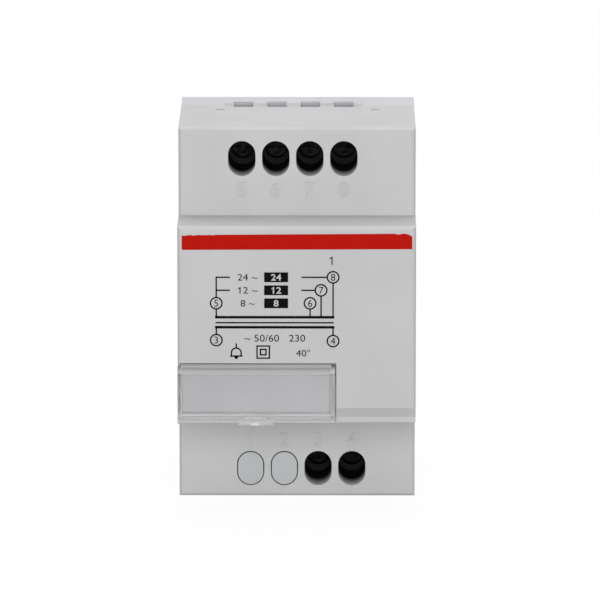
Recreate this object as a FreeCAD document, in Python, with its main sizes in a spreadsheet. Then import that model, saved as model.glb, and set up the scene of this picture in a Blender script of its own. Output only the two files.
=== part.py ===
# Doorbell transformer for a 35 mm mounting rail, three modules wide: a two-part
# moulded housing with a stepped nose, a hinged clear label cover, a sprung rail
# latch, six lift terminals and the mains transformer that the housing holds.
#
# Frame: the origin is on the rail's front plane, at the middle of the rail and of
# the width. +X is to the right seen from the front, the front faces -Y, +Z is up.
# A "depth" is counted forwards from the rail plane, so it is minus Y.
import FreeCAD, Part
import math
import os
import re

import Sketcher

VEC = FreeCAD.Vector

SIZES = {
    # housing, outside
    "width": (53.5, "overall width, three module pitches"),
    "body_height": (85.0, "height of the shoulders' front face"),
    "nose_height": (45.0, "height of the nose"),
    "shoulder_depth": (44.0, "rail plane to the shoulders' front"),
    "nose_depth": (58.0, "rail plane to the nose's front"),
    "parting_depth": (13.0, "rail plane to the joint of cover and base"),
    "cover_wall": (2.0, "wall of the cover"),
    "base_wall": (2.0, "wall of the base"),
    "edge_round": (0.8, "rounding of the cover's outer edges"),
    "chin_height": (3.5, "nose's bottom up to the start of its chamfer"),
    "chin_lip": (1.3, "upright lip under the chamfer"),
    "chin_setback": (1.1, "how far the chamfer runs back"),
    "gate_left": (1.1, "housing's middle to the moulding's gate mark"),
    "gate_rise": (0.7, "nose's top up to that mark"),
    "gate_radius": (0.45, "radius of that mark"),
    "gate_deep": (0.25, "depth of that mark"),
    "fit_gap": (0.1, "gap between mouldings that locate each other"),
    "slide_gap": (0.3, "gap round a piece that moves"),
    # base behind the joint
    "top_step": (0.5, "how far the base's top stands over the cover's"),
    "ramp_drop": (0.8, "fall of the ramps beside the middle block"),
    "ramp_length": (5.0, "depth of those ramps"),
    "ridge_depth": (4.6, "rail plane to the end of the base's flat top"),
    "back_reach": (6.0, "how far the base reaches behind the rail plane"),
    "back_slope": (5.0, "fall of the slopes at the base's rear corners"),
    "core_out": (8.5, "height of the hollow in the upper rear lobe"),
    "tongue_length": (1.5, "base's tongue inside the cover's edge"),
    "tongue_inset": (1.1, "outside of the housing to the tongue"),
    # rail seat and latch
    "rail_width": (35.0, "height of the mounting rail"),
    "rail_over": (0.5, "room over the rail"),
    "rail_under": (1.5, "room under the rail"),
    "flange_slot": (1.6, "slot for the rail's flange behind the rail plane"),
    "hook_overlap": (1.8, "how far hook and latch reach behind the flange"),
    "hook_ramp": (1.5, "lead-in slope of the fixed hook"),
    "latch_width": (18.0, "width of the latch slide"),
    "latch_wing": (1.5, "guide wing on each side of the latch"),
    "latch_wing_thick": (1.5, "thickness of the guide wings"),
    "latch_sunk": (0.7, "base's back to the back of the latch slide"),
    "latch_clear": (0.6, "latch's lower end over the housing's bottom plane"),
    "latch_lead": (2.2, "lead-in slope on the latch's nose"),
    "latch_slot_width": (6.0, "screwdriver slot in the latch"),
    "latch_slot_height": (1.8, "height of that slot"),
    "latch_slot_rise": (1.6, "latch's lower end up to that slot"),
    "window_width": (4.4, "spring window in the latch"),
    "window_drop": (6.5, "rail's lower edge down to the top of that window"),
    "window_rise": (2.0, "screwdriver slot up to the bottom of that window"),
    "spring_radius": (1.3, "coil radius of the latch spring"),
    "spring_wire": (0.27, "wire radius of the latch spring"),
    "spring_turns": (5.0, "turns of the latch spring"),
    "peg_height": (1.4, "height of the peg under the spring"),
    # screw rows
    "pole_pitch": (7.67, "spacing of the screw holes"),
    "row_offset": (0.95, "middle of a screw row from the housing's middle"),
    "upper_inset": (7.0, "housing's top down to the upper screw row"),
    "lower_inset": (6.5, "housing's bottom up to the lower screw row"),
    "hole_width": (6.2, "width of a screw hole"),
    "hole_height": (8.0, "height of a screw hole"),
    "tube_length": (7.0, "shoulders' front to the end of a screw hole's tube"),
    "tube_wall": (0.8, "wall round the tubes"),
    "plug_gap": (0.15, "gap round a blanking plug"),
    "plug_length": (4.0, "length of a blanking plug"),
    "entry_width": (4.4, "width of a wire entry"),
    "entry_front": (15.4, "rail plane to the front of a wire entry"),
    "entry_back": (11.0, "rail plane to the back of a wire entry"),
    # snaps that hold the cover
    "snap_gap": (0.25, "terminal carrier to a snap arm"),
    "snap_width": (1.8, "width of a snap arm"),
    "snap_depth": (19.0, "rail plane to the snap's nib"),
    "snap_thick": (1.1, "thickness of a snap arm"),
    "nib_height": (1.5, "height of the snap's nib"),
    "nib_length": (1.0, "length of the snap's nib"),
    "nib_lead": (0.25, "slope on the front of the nib"),
    # terminals
    "head_inset": (0.2, "side of a clamp cage to the edge of its screw's head"),
    "head_thick": (2.4, "thickness of a screw head"),
    "head_chamfer": (0.4, "chamfer of a screw head"),
    "shank_radius": (1.75, "radius of a terminal screw's thread"),
    "thread_gap": (0.05, "radial clearance of a thread"),
    "slot_thick": (0.9, "width of the slots in a screw head"),
    "slot_deep": (1.1, "depth of the long slot in a screw head"),
    "cross_deep": (1.3, "depth of the short slot across it"),
    "cross_span": (3.4, "length of the short slot across the long one"),
    "driver_radius": (2.6, "opening in front of a screw head"),
    "collar_thick": (2.0, "thickness of the collar in front of a head"),
    "plate_front": (16.8, "rail plane to the front of a contact plate"),
    "plate_thick": (1.2, "thickness of a contact plate"),
    "plate_play": (0.4, "room beside a contact plate in its cage"),
    "tail_width": (1.4, "width of a contact plate's soldered tail"),
    "chamber_wall": (0.87, "wall between two terminal chambers"),
    "cage_height": (7.4, "height of a clamp cage"),
    "cage_front_wall": (2.2, "threaded wall of a clamp cage"),
    "cage_back_wall": (1.2, "wall that presses the wire"),
    "cage_side_wall": (0.8, "side walls of a clamp cage"),
    "cage_window": (6.8, "length of a clamp cage's window"),
    "cage_play": (0.8, "cage's threaded wall to the plate, opened"),
    "cage_travel": (3.6, "how far the screw draws the cage forwards"),
    "cage_clear": (0.4, "room in front of the closed cage"),
    "carrier_wall": (0.8, "end walls of a terminal carrier"),
    "carrier_base": (1.5, "inner wall of a terminal carrier"),
    # transformer
    "core_gap": (0.75, "side of the core to the cover's wall"),
    "core_height": (40.0, "height of the core"),
    "stack": (20.0, "thickness of the core's stack"),
    "bore_radius": (1.7, "radius of the core's fixing holes"),
    "bobbin_gap": (0.2, "gap between bobbin and core"),
    "bobbin_wall": (1.0, "wall of the bobbin"),
    "coil_back": (14.6, "rail plane to the bobbin's rear edge"),
    "coil_room": (3.4, "bobbin's front edge to the wall behind the label cover"),
    "coil_margin": (0.8, "bobbin's edge out from the winding"),
    "coil_seat": (0.1, "gap between winding and bobbin"),
    "tape_thick": (0.25, "thickness of the winding tape"),
    "corner_round": (2.0, "rounding of the windings' corners"),
    "cutout_width": (8.0, "width of the thermal cut-out"),
    "cutout_height": (7.0, "height of the thermal cut-out"),
    "cutout_thick": (3.0, "thickness of the thermal cut-out"),
    "cutout_round": (0.8, "rounding of the thermal cut-out"),
    "core_screw_radius": (1.5, "radius of the core's fixing screws"),
    "core_screw_head": (2.7, "radius of those screws' heads"),
    "core_screw_head_thick": (1.8, "thickness of those heads"),
    "core_screw_grip": (10.0, "how far those screws run into the posts"),
    "post_radius": (3.0, "radius of the base's core posts"),
    # label cover
    "flap_right": (8.6, "housing's middle to the label cover's right end"),
    "flap_proud": (0.1, "how far its left end stands out of the side"),
    "flap_wall": (0.9, "wall of the label cover"),
    "flap_stand": (0.8, "how far its face stands out of the nose"),
    "flap_round": (2.2, "radius of its rolled upper edge"),
    "flap_height": (13.3, "height of the label cover"),
    "flap_rise": (0.2, "nose's bottom up to its lower edge"),
    "flap_bevel": (0.7, "how far its lower edge slopes back"),
    "flap_bevel_height": (1.8, "height of that slope"),
    "cheek_reach": (4.2, "depth of its end cheeks"),
    "cheek_drop": (0.3, "cheeks' ends under its lower edge"),
    "cheek_gap": (0.25, "gap beside the cheeks"),
    "cheek_round": (1.5, "radius of the cheeks round the hinge"),
    "cheek_slope": (1.1, "hinge down to where the cheeks run straight"),
    "hinge_pin": (0.6, "radius of the hinge pins"),
    "hinge_pin_length": (1.35, "length of the hinge pins"),
    "pin_gap": (0.05, "radial clearance of the hinge pins"),
    "flap_relief": (0.3, "gap over the label cover"),
    "neck_slope": (1.0, "slope behind the bead that carries the hinge"),
    "neck_height": (3.0, "height of the neck that carries that bead"),
    "pad_block": (3.2, "thicker wall behind the label cover"),
    "pad_margin": (1.9, "that wall past the label cover's top and right end"),
    "tab_left": (13.3, "housing's middle to the finger tab's left end"),
    "tab_right": (5.3, "housing's middle to the finger tab's right end"),
    "tab_drop": (0.6, "finger tab under the label cover's lower edge"),
    "tab_thick": (0.5, "thickness of the finger tab"),
    "tab_height": (1.8, "height of the finger tab"),
}

# Sizes and places that follow from those, each used by several pieces
PLACES = {
    "side_in": "width / 2 - cover_wall",
    "upper_row": "body_height / 2 - upper_inset",
    "lower_row": "body_height / 2 - lower_inset",
    # rail seat, latch and the spring window
    "seat_top": "rail_width / 2 + rail_over",
    "seat_bottom": "-rail_width / 2 - rail_under",
    "latch_front": "flange_slot - fit_gap",
    "latch_back": "back_reach - latch_sunk",
    "latch_bottom": "latch_clear - body_height / 2",
    "window_top": "-rail_width / 2 - window_drop",
    "window_bottom": "latch_bottom + latch_slot_rise + latch_slot_height + window_rise",
    "peg_low": "window_bottom + slide_gap",
    "spring_low": "peg_low + peg_height + fit_gap",
    "spring_length": "window_top - fit_gap - spring_low",
    # label cover: hinge axis, bead and groove, the wall behind it
    "flap_left": "-width / 2 - flap_proud",
    "flap_bottom": "nose_height / 2 - flap_rise",
    "flap_face_end": "flap_bottom - flap_bevel_height",
    "flap_top": "flap_bottom - flap_height",
    "cheek_bottom": "flap_bottom + cheek_drop",
    "hinge_depth": "nose_depth + flap_stand - flap_round",
    "hinge_up": "-flap_top - flap_round",
    "bead": "flap_round - flap_wall - slide_gap",
    "groove": "flap_round + slide_gap",
    "pad_face": "-hinge_depth - bead",
    "pad_left": "flap_left + flap_wall + cheek_gap",
    "pad_right": "flap_right - flap_wall - cheek_gap",
    # terminals
    "cage_width": "pole_pitch - chamber_wall - 2 * slide_gap",
    "plate_width": "cage_width - 2 * cage_side_wall - plate_play",
    "head_radius": "cage_width / 2 - head_inset",
    "cage_front": "plate_front + cage_play + cage_front_wall",
    "cavity_depth": "cage_front + cage_travel + cage_clear",
    "cavity_width": "cage_width + 2 * slide_gap",
    "cavity_height": "cage_height + 2 * slide_gap",
    "head_back": "cavity_depth + slide_gap",
    "head_depth": "head_back + head_thick",
    "carrier_half": "1.5 * pole_pitch + cavity_width / 2 + carrier_wall",
    "snap_offset": "row_offset + carrier_half + snap_gap + snap_width / 2",
    # transformer
    "core_width": "width - 2 * cover_wall - 2 * core_gap",
    # the usual stamping: a middle limb of a third of the core, outer limbs and yokes of a sixth
    "limb_width": "core_width / 3",
    "yoke_height": "core_width / 6",
    "coil_edge": "nose_depth - cover_wall - pad_block - coil_room",
    "coil_half_depth": "(coil_edge - coil_back) / 2",
    "core_middle": "(coil_edge + coil_back) / 2",
    "core_front": "core_middle + stack / 2",
    "core_back": "core_middle - stack / 2",
    "flange_top": "core_height / 2 - yoke_height - bobbin_gap",
}

# How near an edge's middle lies to the place that picks it
NEAR = 0.01
# flats that stand for the round section of the spring wire
SPRING_FLATS = 10

doc = FreeCAD.newDocument("doorbell_transformer")
sheet = doc.addObject("Spreadsheet::Sheet", "size")
for row, (alias, (number, meaning)) in enumerate(SIZES.items(), start=1):
    sheet.set("A%d" % row, meaning)
    sheet.set("B%d" % row, str(number))
    sheet.setAlias("B%d" % row, alias)
doc.recompute()

SUBPARTS = []


def bind(text):
    """A formula over named sizes and places as an expression over the sheet's cells."""
    def spell(match):
        name = match.group(0)
        if name in PLACES:
            return "(%s)" % bind(PLACES[name])
        return "size." + name if name in SIZES else name
    return re.sub(r"[A-Za-z_]\w*", spell, text)


def value(text):
    """The present value of a formula over size names."""
    return float(sheet.evalExpression(bind(text)))


def new_body(label):
    body = doc.addObject("PartDesign::Body", label)
    body.Label = label
    body.Placement = FreeCAD.Placement()
    SUBPARTS.append(body)
    return body


def put(body, across, ahead, up, turned=False):
    """Places a body whose own drawing is about its own origin."""
    turn = FreeCAD.Rotation(VEC(0, 1, 0), 180 if turned else 0)
    body.Placement = FreeCAD.Placement(VEC(0, 0, 0), turn)
    for axis, text in (("x", across), ("y", ahead), ("z", up)):
        body.setExpression("Placement.Base." + axis, bind(text))


# Drawing on the three planes. "front" looks at the housing from the front and its
# levels are depths, "side" is seen from the right and its levels are X, and "top"
# is seen from above and its levels are Z.
PLANES = {"front": "XZ_Plane", "side": "YZ_Plane", "top": "XY_Plane"}


def new_sketch(body, plane, level):
    support = [f for f in body.Origin.OriginFeatures if f.Role == PLANES[plane]][0]
    sketch = body.newObject("Sketcher::SketchObject", body.Name + "_sketch")
    sketch.AttachmentSupport = [(support, "")]
    sketch.MapMode = "FlatFace"
    sketch.setExpression("AttachmentOffset.Base.z", bind(level))
    return sketch


def pin_point(sketch, geometry, point, across, up):
    """Holds a point of the sketch at two formulas from its origin."""
    for kind, text in (("DistanceX", across), ("DistanceY", up)):
        constraint = Sketcher.Constraint(kind, -1, 1, geometry, point, value(text))
        index = sketch.addConstraint(constraint)
        sketch.setExpression("Constraints[%d]" % index, bind(text))


def polygon(*corners):
    def draw(sketch):
        first = sketch.GeometryCount
        count = len(corners)
        spots = [VEC(value(across), value(up), 0) for across, up in corners]
        for i in range(count):
            sketch.addGeometry(Part.LineSegment(spots[i], spots[(i + 1) % count]), False)
        for i in range(count):
            after = first + (i + 1) % count
            sketch.addConstraint(Sketcher.Constraint("Coincident", first + i, 2, after, 1))
        for i, (across, up) in enumerate(corners):
            pin_point(sketch, first + i, 1, across, up)
    return draw


def rectangle(left, right, low, high):
    return polygon((left, low), (right, low), (right, high), (left, high))


def circle(across, up, radius):
    def draw(sketch):
        shape = Part.Circle(VEC(value(across), value(up), 0), VEC(0, 0, 1), value(radius))
        index = sketch.addGeometry(shape, False)
        pin_point(sketch, index, 3, across, up)
        size = sketch.addConstraint(Sketcher.Constraint("Radius", index, value(radius)))
        sketch.setExpression("Constraints[%d]" % size, bind(radius))
    return draw


def obround(across, up, wide, tall):
    """An upright slot with round ends."""
    def draw(sketch):
        radius = value(wide) / 2
        straight = "((%s) - (%s)) / 2" % (tall, wide)
        middle = value(across)
        ends = (value("%s + %s" % (up, straight)), value("%s - (%s)" % (up, straight)))
        upper = Part.Circle(VEC(middle, ends[0], 0), VEC(0, 0, 1), radius)
        lower = Part.Circle(VEC(middle, ends[1], 0), VEC(0, 0, 1), radius)
        arc_up = sketch.addGeometry(Part.ArcOfCircle(upper, 0, math.pi), False)
        arc_low = sketch.addGeometry(Part.ArcOfCircle(lower, math.pi, 2 * math.pi), False)
        left = Part.LineSegment(VEC(middle - radius, ends[0], 0), VEC(middle - radius, ends[1], 0))
        right = Part.LineSegment(VEC(middle + radius, ends[1], 0), VEC(middle + radius, ends[0], 0))
        line_left = sketch.addGeometry(left, False)
        line_right = sketch.addGeometry(right, False)
        for a, a_end, b, b_end in (
            (arc_up, 2, line_left, 1),
            (line_left, 2, arc_low, 1),
            (arc_low, 2, line_right, 1),
            (line_right, 2, arc_up, 1),
        ):
            sketch.addConstraint(Sketcher.Constraint("Tangent", a, a_end, b, b_end))
        pin_point(sketch, arc_up, 3, across, "%s + %s" % (up, straight))
        pin_point(sketch, arc_low, 3, across, "%s - (%s)" % (up, straight))
        size = sketch.addConstraint(Sketcher.Constraint("Radius", arc_up, radius))
        sketch.setExpression("Constraints[%d]" % size, bind("(%s) / 2" % wide))
    return draw


def extrude(body, kind, plane, level, low, high, shapes):
    sketch = new_sketch(body, plane, level)
    for draw in shapes:
        draw(sketch)
    feature = body.newObject("PartDesign::" + kind, body.Name + "_" + kind.lower())
    feature.Profile = sketch
    feature.Type = "Length"
    feature.setExpression("Length", bind("(%s) - (%s)" % (high, low)))
    body.Tip = feature
    return feature


def pad(body, plane, low, high, *shapes):
    """Adds the shapes between two levels of a plane."""
    return extrude(body, "Pad", plane, low, low, high, shapes)


def pocket(body, plane, low, high, *shapes):
    """Cuts the shapes between two levels of a plane, and checks that it cut."""
    doc.recompute()
    before = body.Shape.Volume
    feature = extrude(body, "Pocket", plane, high, low, high, shapes)
    doc.recompute()
    if body.Shape.Volume > before - 1e-4:
        raise RuntimeError("%s cut nothing from %s" % (feature.Name, body.Label))
    return feature


def dress(body, kind, amount, test):
    """Rounds or chamfers the edges that a test of middle and direction picks."""
    doc.recompute()
    base = body.Tip
    names = []
    for number, edge in enumerate(base.Shape.Edges, start=1):
        if edge.Length < 1e-6:
            continue
        middle = edge.valueAt((edge.FirstParameter + edge.LastParameter) / 2)
        ends = [v.Point for v in edge.Vertexes]
        run = (ends[-1] - ends[0]) if len(ends) > 1 else VEC(0, 0, 0)
        if run.Length > 1e-9:
            run.normalize()
        if test(middle, run):
            names.append("Edge%d" % number)
    feature = body.newObject("PartDesign::" + kind, body.Name + "_" + kind.lower())
    feature.Base = (base, names)
    feature.setExpression("Radius" if kind == "Fillet" else "Size", bind(amount))
    body.Tip = feature
    doc.recompute()
    return feature


def is_upright(run):
    return abs(run.z) > 0.9


UPPER = {5: 0, 6: 1, 7: 2, 8: 3}
LOWER = {3: 2, 4: 3}
BLANKED = {1: 0, 2: 1}


def pole_across(place, upper):
    """X of one of the four places in a row, counted from the left."""
    side = "-row_offset" if upper else "row_offset"
    return "(%s + %s * pole_pitch)" % (side, place - 1.5)


def row_up(upper):
    return "upper_row" if upper else "(-lower_row)"


def cover_outline(inset, start, chin):
    """Side view of the stepped cover, drawn in by a wall from the outside."""
    half = "(body_height / 2 - %s)" % inset
    nose = "(nose_height / 2 - %s)" % inset
    shoulder = "(%s - shoulder_depth)" % inset
    front = "(%s - nose_depth)" % inset
    foot = chin_outline(inset) if chin else [(front, "-" + nose)]
    return polygon((start, half), (shoulder, half), (shoulder, nose), (front, nose), *foot,
                   (shoulder, "-" + nose), (shoulder, "-" + half), (start, "-" + half))


def chin_outline(inset):
    """Chamfer and upright lip at the nose's lower front edge."""
    front = "(%s - nose_depth)" % inset
    back = "(%s + chin_setback)" % front
    return [(front, "chin_height - nose_height / 2"),
            (back, "chin_lip + %s - nose_height / 2" % inset),
            (back, "%s - nose_height / 2" % inset)]


def front_cover():
    body = new_body("front_cover")
    pad(body, "side", "-width / 2", "width / 2", cover_outline("0", "-parting_depth", False))
    side = value("width / 2")
    shoulder = -value("shoulder_depth")
    nose = value("nose_height / 2")
    parting = -value("parting_depth")

    def outer_edge(middle, run):
        upright = is_upright(run) and abs(abs(middle.x) - side) < NEAR
        across = abs(run.x) > 0.9 and middle.y < shoulder + NEAR
        root = abs(middle.y - shoulder) < NEAR and abs(middle.z) < nose + NEAR
        return middle.y < parting - NEAR and (upright or across and not root)

    dress(body, "Fillet", "edge_round", outer_edge)
    pocket(body, "side", "-width / 2", "width / 2",
           polygon(*chin_outline("0"), ("-nose_depth", "-nose_height / 2")))
    pocket(body, "side", "-side_in", "side_in", cover_outline("cover_wall", "0", True))

    # thicker wall behind the label cover, then its recess
    pad(body, "front", "nose_depth - cover_wall - pad_block", "nose_depth - cover_wall",
        rectangle("-side_in", "flap_right + pad_margin",
                  "cover_wall - nose_height / 2", "pad_margin - flap_top"))
    pad(body, "side", "-width / 2", "flap_right + pad_margin", polygon(
        ("-nose_depth + chin_setback + cover_wall", "chin_height - nose_height / 2"),
        ("-nose_depth + cover_wall", "chin_height - nose_height / 2"),
        ("-nose_depth + cover_wall", "cover_wall - nose_height / 2"),
        ("-nose_depth + cover_wall + pad_block", "cover_wall - nose_height / 2"),
        ("-nose_depth + cover_wall + pad_block", "chin_height - nose_height / 2"),
    ))
    flap_end = "flap_right + slide_gap"
    bottom = "-nose_height / 2"
    axis = "-hinge_depth"
    pocket(body, "side", "-width / 2", flap_end, polygon(
        ("-nose_depth", "flap_relief - flap_top"), (axis, "flap_relief - flap_top"),
        (axis, "hinge_up"), ("pad_face", "hinge_up"), ("pad_face", "slide_gap - flap_face_end"),
        ("pad_face + chin_setback", bottom), ("-nose_depth", bottom),
    ))
    pocket(body, "side", "-width / 2", flap_end, circle(axis, "hinge_up", "groove"))
    neck = "groove - hinge_depth"
    pad(body, "side", "pad_left", "pad_right", polygon(
        ("pad_face", "hinge_up"), (axis, "hinge_up"), (neck, "hinge_up - neck_slope"),
        (neck, "hinge_up - neck_height"), ("pad_face", "hinge_up - neck_height"),
    ))
    pad(body, "side", "pad_left", "pad_right", circle(axis, "hinge_up", "bead"))
    cheek_back = "cheek_reach + slide_gap - nose_depth - flap_stand"
    slot = rectangle("-nose_depth", cheek_back, bottom, "hinge_up + cheek_round + slide_gap")
    pocket(body, "side", "-width / 2", "pad_left", slot)
    pocket(body, "side", "pad_right", flap_end, slot)
    hole = circle(axis, "hinge_up", "hinge_pin + pin_gap")
    reach = "hinge_pin_length + slide_gap"
    pocket(body, "side", "pad_left", "pad_left + " + reach, hole)
    pocket(body, "side", "pad_right - (%s)" % reach, "pad_right", hole)

    # guide tubes behind the screw holes, which stand in one row and share their walls
    for upper in (True, False):
        left = pole_across(0, upper) + " - hole_width / 2 - tube_wall"
        right = pole_across(3, upper) + " + hole_width / 2 + tube_wall"
        inner = "(hole_height / 2 + tube_wall)"
        wall = "body_height / 2 - cover_wall / 2"
        low, high = ("upper_row - " + inner, wall) if upper else ("-(%s)" % wall, inner + " - lower_row")
        pad(body, "front", "shoulder_depth - tube_length", "shoulder_depth - cover_wall / 2",
            rectangle(left, right, low, high))

    # screw holes, wire entries, snap windows and the rebate for the base's tongue
    holes = [obround(pole_across(p, True), row_up(True), "hole_width", "hole_height")
             for p in UPPER.values()]
    holes += [obround(pole_across(p, False), row_up(False), "hole_width", "hole_height")
              for p in list(LOWER.values()) + list(BLANKED.values())]
    pocket(body, "front", "shoulder_depth - tube_length", "shoulder_depth", *holes)
    pocket(body, "front", "shoulder_depth - gate_deep", "shoulder_depth",
           circle("-gate_left", "nose_height / 2 + gate_rise", "gate_radius"))
    rebate_side = "width / 2 - tongue_inset + fit_gap"
    rebate_up = "body_height / 2 - tongue_inset + fit_gap"
    pocket(body, "front", "0", "parting_depth + tongue_length + fit_gap",
           rectangle("-(%s)" % rebate_side, rebate_side, "-(%s)" % rebate_up, rebate_up))
    for places, upper in ((UPPER, True), (LOWER, False)):
        for place in places.values():
            entry = rectangle("%s - entry_width / 2" % pole_across(place, upper),
                              "%s + entry_width / 2" % pole_across(place, upper),
                              "-entry_front", "0")
            low, high = ("body_height / 2 - 2 * cover_wall", "body_height / 2")
            if not upper:
                low, high = ("-body_height / 2", "2 * cover_wall - body_height / 2")
            pocket(body, "top", low, high, entry)
    for side in ("-snap_offset", "snap_offset"):
        window = rectangle(side + " - snap_width / 2 - fit_gap", side + " + snap_width / 2 + fit_gap",
                           "-snap_depth - nib_length / 2 - fit_gap", "-snap_depth + nib_length / 2 + fit_gap")
        pocket(body, "top", "body_height / 2 - cover_wall", "body_height / 2", window)
        pocket(body, "top", "-body_height / 2", "cover_wall - body_height / 2", window)


def rear_housing():
    body = new_body("rear_housing")
    top = "(body_height / 2 + top_step)"
    hook = "rail_width / 2 - hook_overlap"
    pad(body, "side", "-width / 2", "width / 2", polygon(
        ("-parting_depth", top + " - ramp_drop"), ("ramp_length - parting_depth", top),
        ("-ridge_depth", top), ("back_reach", top + " - back_slope"),
        ("back_reach", hook + " + hook_ramp"), ("back_reach - hook_ramp", hook),
        ("flange_slot", hook), ("flange_slot", "seat_top"), ("0", "seat_top"),
        ("0", "seat_bottom"), ("back_reach", "seat_bottom"),
        ("back_reach", "back_slope - body_height / 2"), ("-ridge_depth", "-body_height / 2"),
        ("-parting_depth", "-body_height / 2"),
    ))
    pad(body, "side", "-row_offset - carrier_half", "carrier_half - row_offset", polygon(
        ("-parting_depth", top + " - 2 * ramp_drop"), ("-parting_depth", top),
        ("ramp_length - parting_depth", top), ("ramp_length - parting_depth", top + " - 2 * ramp_drop"),
    ))
    side_in = "(width / 2 - base_wall)"
    up_in = "(body_height / 2 - base_wall)"
    pocket(body, "front", "base_wall", "parting_depth",
           rectangle("-" + side_in, side_in, "-" + up_in, up_in))
    hollow_low = "seat_top + base_wall"
    pocket(body, "front", "base_wall - back_reach", "base_wall",
           rectangle("-" + side_in, side_in, hollow_low, hollow_low + " + core_out"))

    # tongue round the edge, with the four snap arms inside it
    outer = ("width / 2 - tongue_inset", "body_height / 2 - tongue_inset")
    pad(body, "front", "parting_depth", "parting_depth + tongue_length",
        rectangle("-(%s)" % outer[0], outer[0], "-(%s)" % outer[1], outer[1]),
        rectangle("-" + side_in, side_in, "-" + up_in, up_in))
    arm_top = "(body_height / 2 - cover_wall - fit_gap)"
    arm_low = "(%s - snap_thick)" % arm_top
    arm_step = "(%s + cover_wall / 2)" % arm_top
    nib_top = "(%s + nib_height)" % arm_top
    nib_front = "(-snap_depth - nib_length / 2)"
    arm_end = "%s - nib_length / 2" % nib_front
    arm_start = "-parting_depth / 2"
    tongue_end = "-parting_depth - tongue_length"
    for sign in ("", "-"):
        arm = polygon(
            (arm_start, sign + arm_low), (arm_end, sign + arm_low), (arm_end, sign + arm_top),
            (nib_front, sign + arm_top), (nib_front + " + nib_lead", sign + nib_top),
            (nib_front + " + nib_length", sign + nib_top), (nib_front + " + nib_length", sign + arm_top),
            (tongue_end, sign + arm_top), (tongue_end, sign + arm_step), (arm_start, sign + arm_step),
        )
        for side in ("-snap_offset", "snap_offset"):
            pad(body, "side", side + " - snap_width / 2", side + " + snap_width / 2", arm)

    # posts that carry the core
    posts = [(a, b) for a in ("-", "") for b in ("-", "")]
    spots = [(a + "(core_width - yoke_height) / 2", b + "(core_height - yoke_height) / 2") for a, b in posts]
    pad(body, "front", "base_wall / 2", "core_back", *[circle(x, z, "post_radius") for x, z in spots])
    pocket(body, "front", "core_back - core_screw_grip - fit_gap", "core_back",
           *[circle(x, z, "core_screw_radius + thread_gap") for x, z in spots])

    # wire entries' rear halves
    for places, upper in ((UPPER, True), (LOWER, False)):
        for place in places.values():
            across = pole_across(place, upper)
            entry = rectangle(across + " - entry_width / 2", across + " + entry_width / 2",
                              "-parting_depth - tongue_length", "-entry_back")
            if upper:
                pocket(body, "top", "body_height / 2 - 2 * base_wall", top, entry)
            else:
                pocket(body, "top", "-body_height / 2", "2 * base_wall - body_height / 2", entry)

    # channel of the latch, its grooves and the peg under its spring
    channel = "(latch_width / 2 + slide_gap)"
    groove = "(latch_width / 2 + latch_wing + slide_gap)"
    channel_front = "latch_front - slide_gap"
    pocket(body, "top", "-body_height / 2", "seat_bottom",
           rectangle("-" + channel, channel, channel_front, "back_reach"))
    pocket(body, "top", "-body_height / 2", "seat_bottom - base_wall",
           rectangle("-" + groove, groove, channel_front, "latch_front + latch_wing_thick + slide_gap"))
    pad(body, "top", "peg_low", "peg_low + peg_height",
        rectangle("slide_gap - window_width / 2", "window_width / 2 - slide_gap",
                  "0", "latch_back - slide_gap"))


def rail_latch():
    body = new_body("rail_latch")
    nose = "hook_overlap - rail_width / 2"
    pad(body, "side", "-latch_width / 2", "latch_width / 2", polygon(
        ("latch_front", "latch_bottom"), ("latch_back", "latch_bottom"),
        ("latch_back", nose + " - latch_lead"), ("latch_back - latch_lead", nose), ("latch_front", nose),
    ))
    wing = "latch_width / 2 + latch_wing"
    pad(body, "top", "latch_bottom", "seat_bottom - base_wall - slide_gap",
        rectangle("-(%s)" % wing, wing, "latch_front", "latch_front + latch_wing_thick"))
    slot_low = "latch_bottom + latch_slot_rise"
    window = rectangle("-window_width / 2", "window_width / 2", "window_bottom", "window_top")
    slot = rectangle("-latch_slot_width / 2", "latch_slot_width / 2",
                     slot_low, slot_low + " + latch_slot_height")
    pocket(body, "front", "-latch_back", "-latch_front", window, slot)


def latch_spring():
    """Open coil spring on an upright axis in the latch's window."""
    thick = value("spring_wire")
    radius = value("spring_radius")
    rise = value("spring_length - 2 * spring_wire")
    pitch = rise / value("spring_turns")
    path = Part.Wire(Part.makeHelix(pitch, rise, radius).Edges)
    # the wire is drawn with flats, square to the coil's slope, so that its skin stays light
    slope = math.atan2(pitch, 2 * math.pi * radius)
    turns = [2 * math.pi * k / SPRING_FLATS for k in range(SPRING_FLATS + 1)]
    across = [VEC(math.cos(a), -math.sin(a) * math.sin(slope), math.sin(a) * math.cos(slope)) for a in turns]
    section = Part.makePolygon([VEC(radius, 0, 0) + thick * way for way in across])
    spring = doc.addObject("Part::Feature", "latch_spring")
    spring.Shape = path.makePipeShell([section], True, True)
    spring.Label = "latch_spring"
    foot = VEC(0, value("(latch_front + latch_back) / 2"), value("spring_low + spring_wire"))
    spring.Placement = FreeCAD.Placement(foot, FreeCAD.Rotation())
    SUBPARTS.append(spring)


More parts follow.
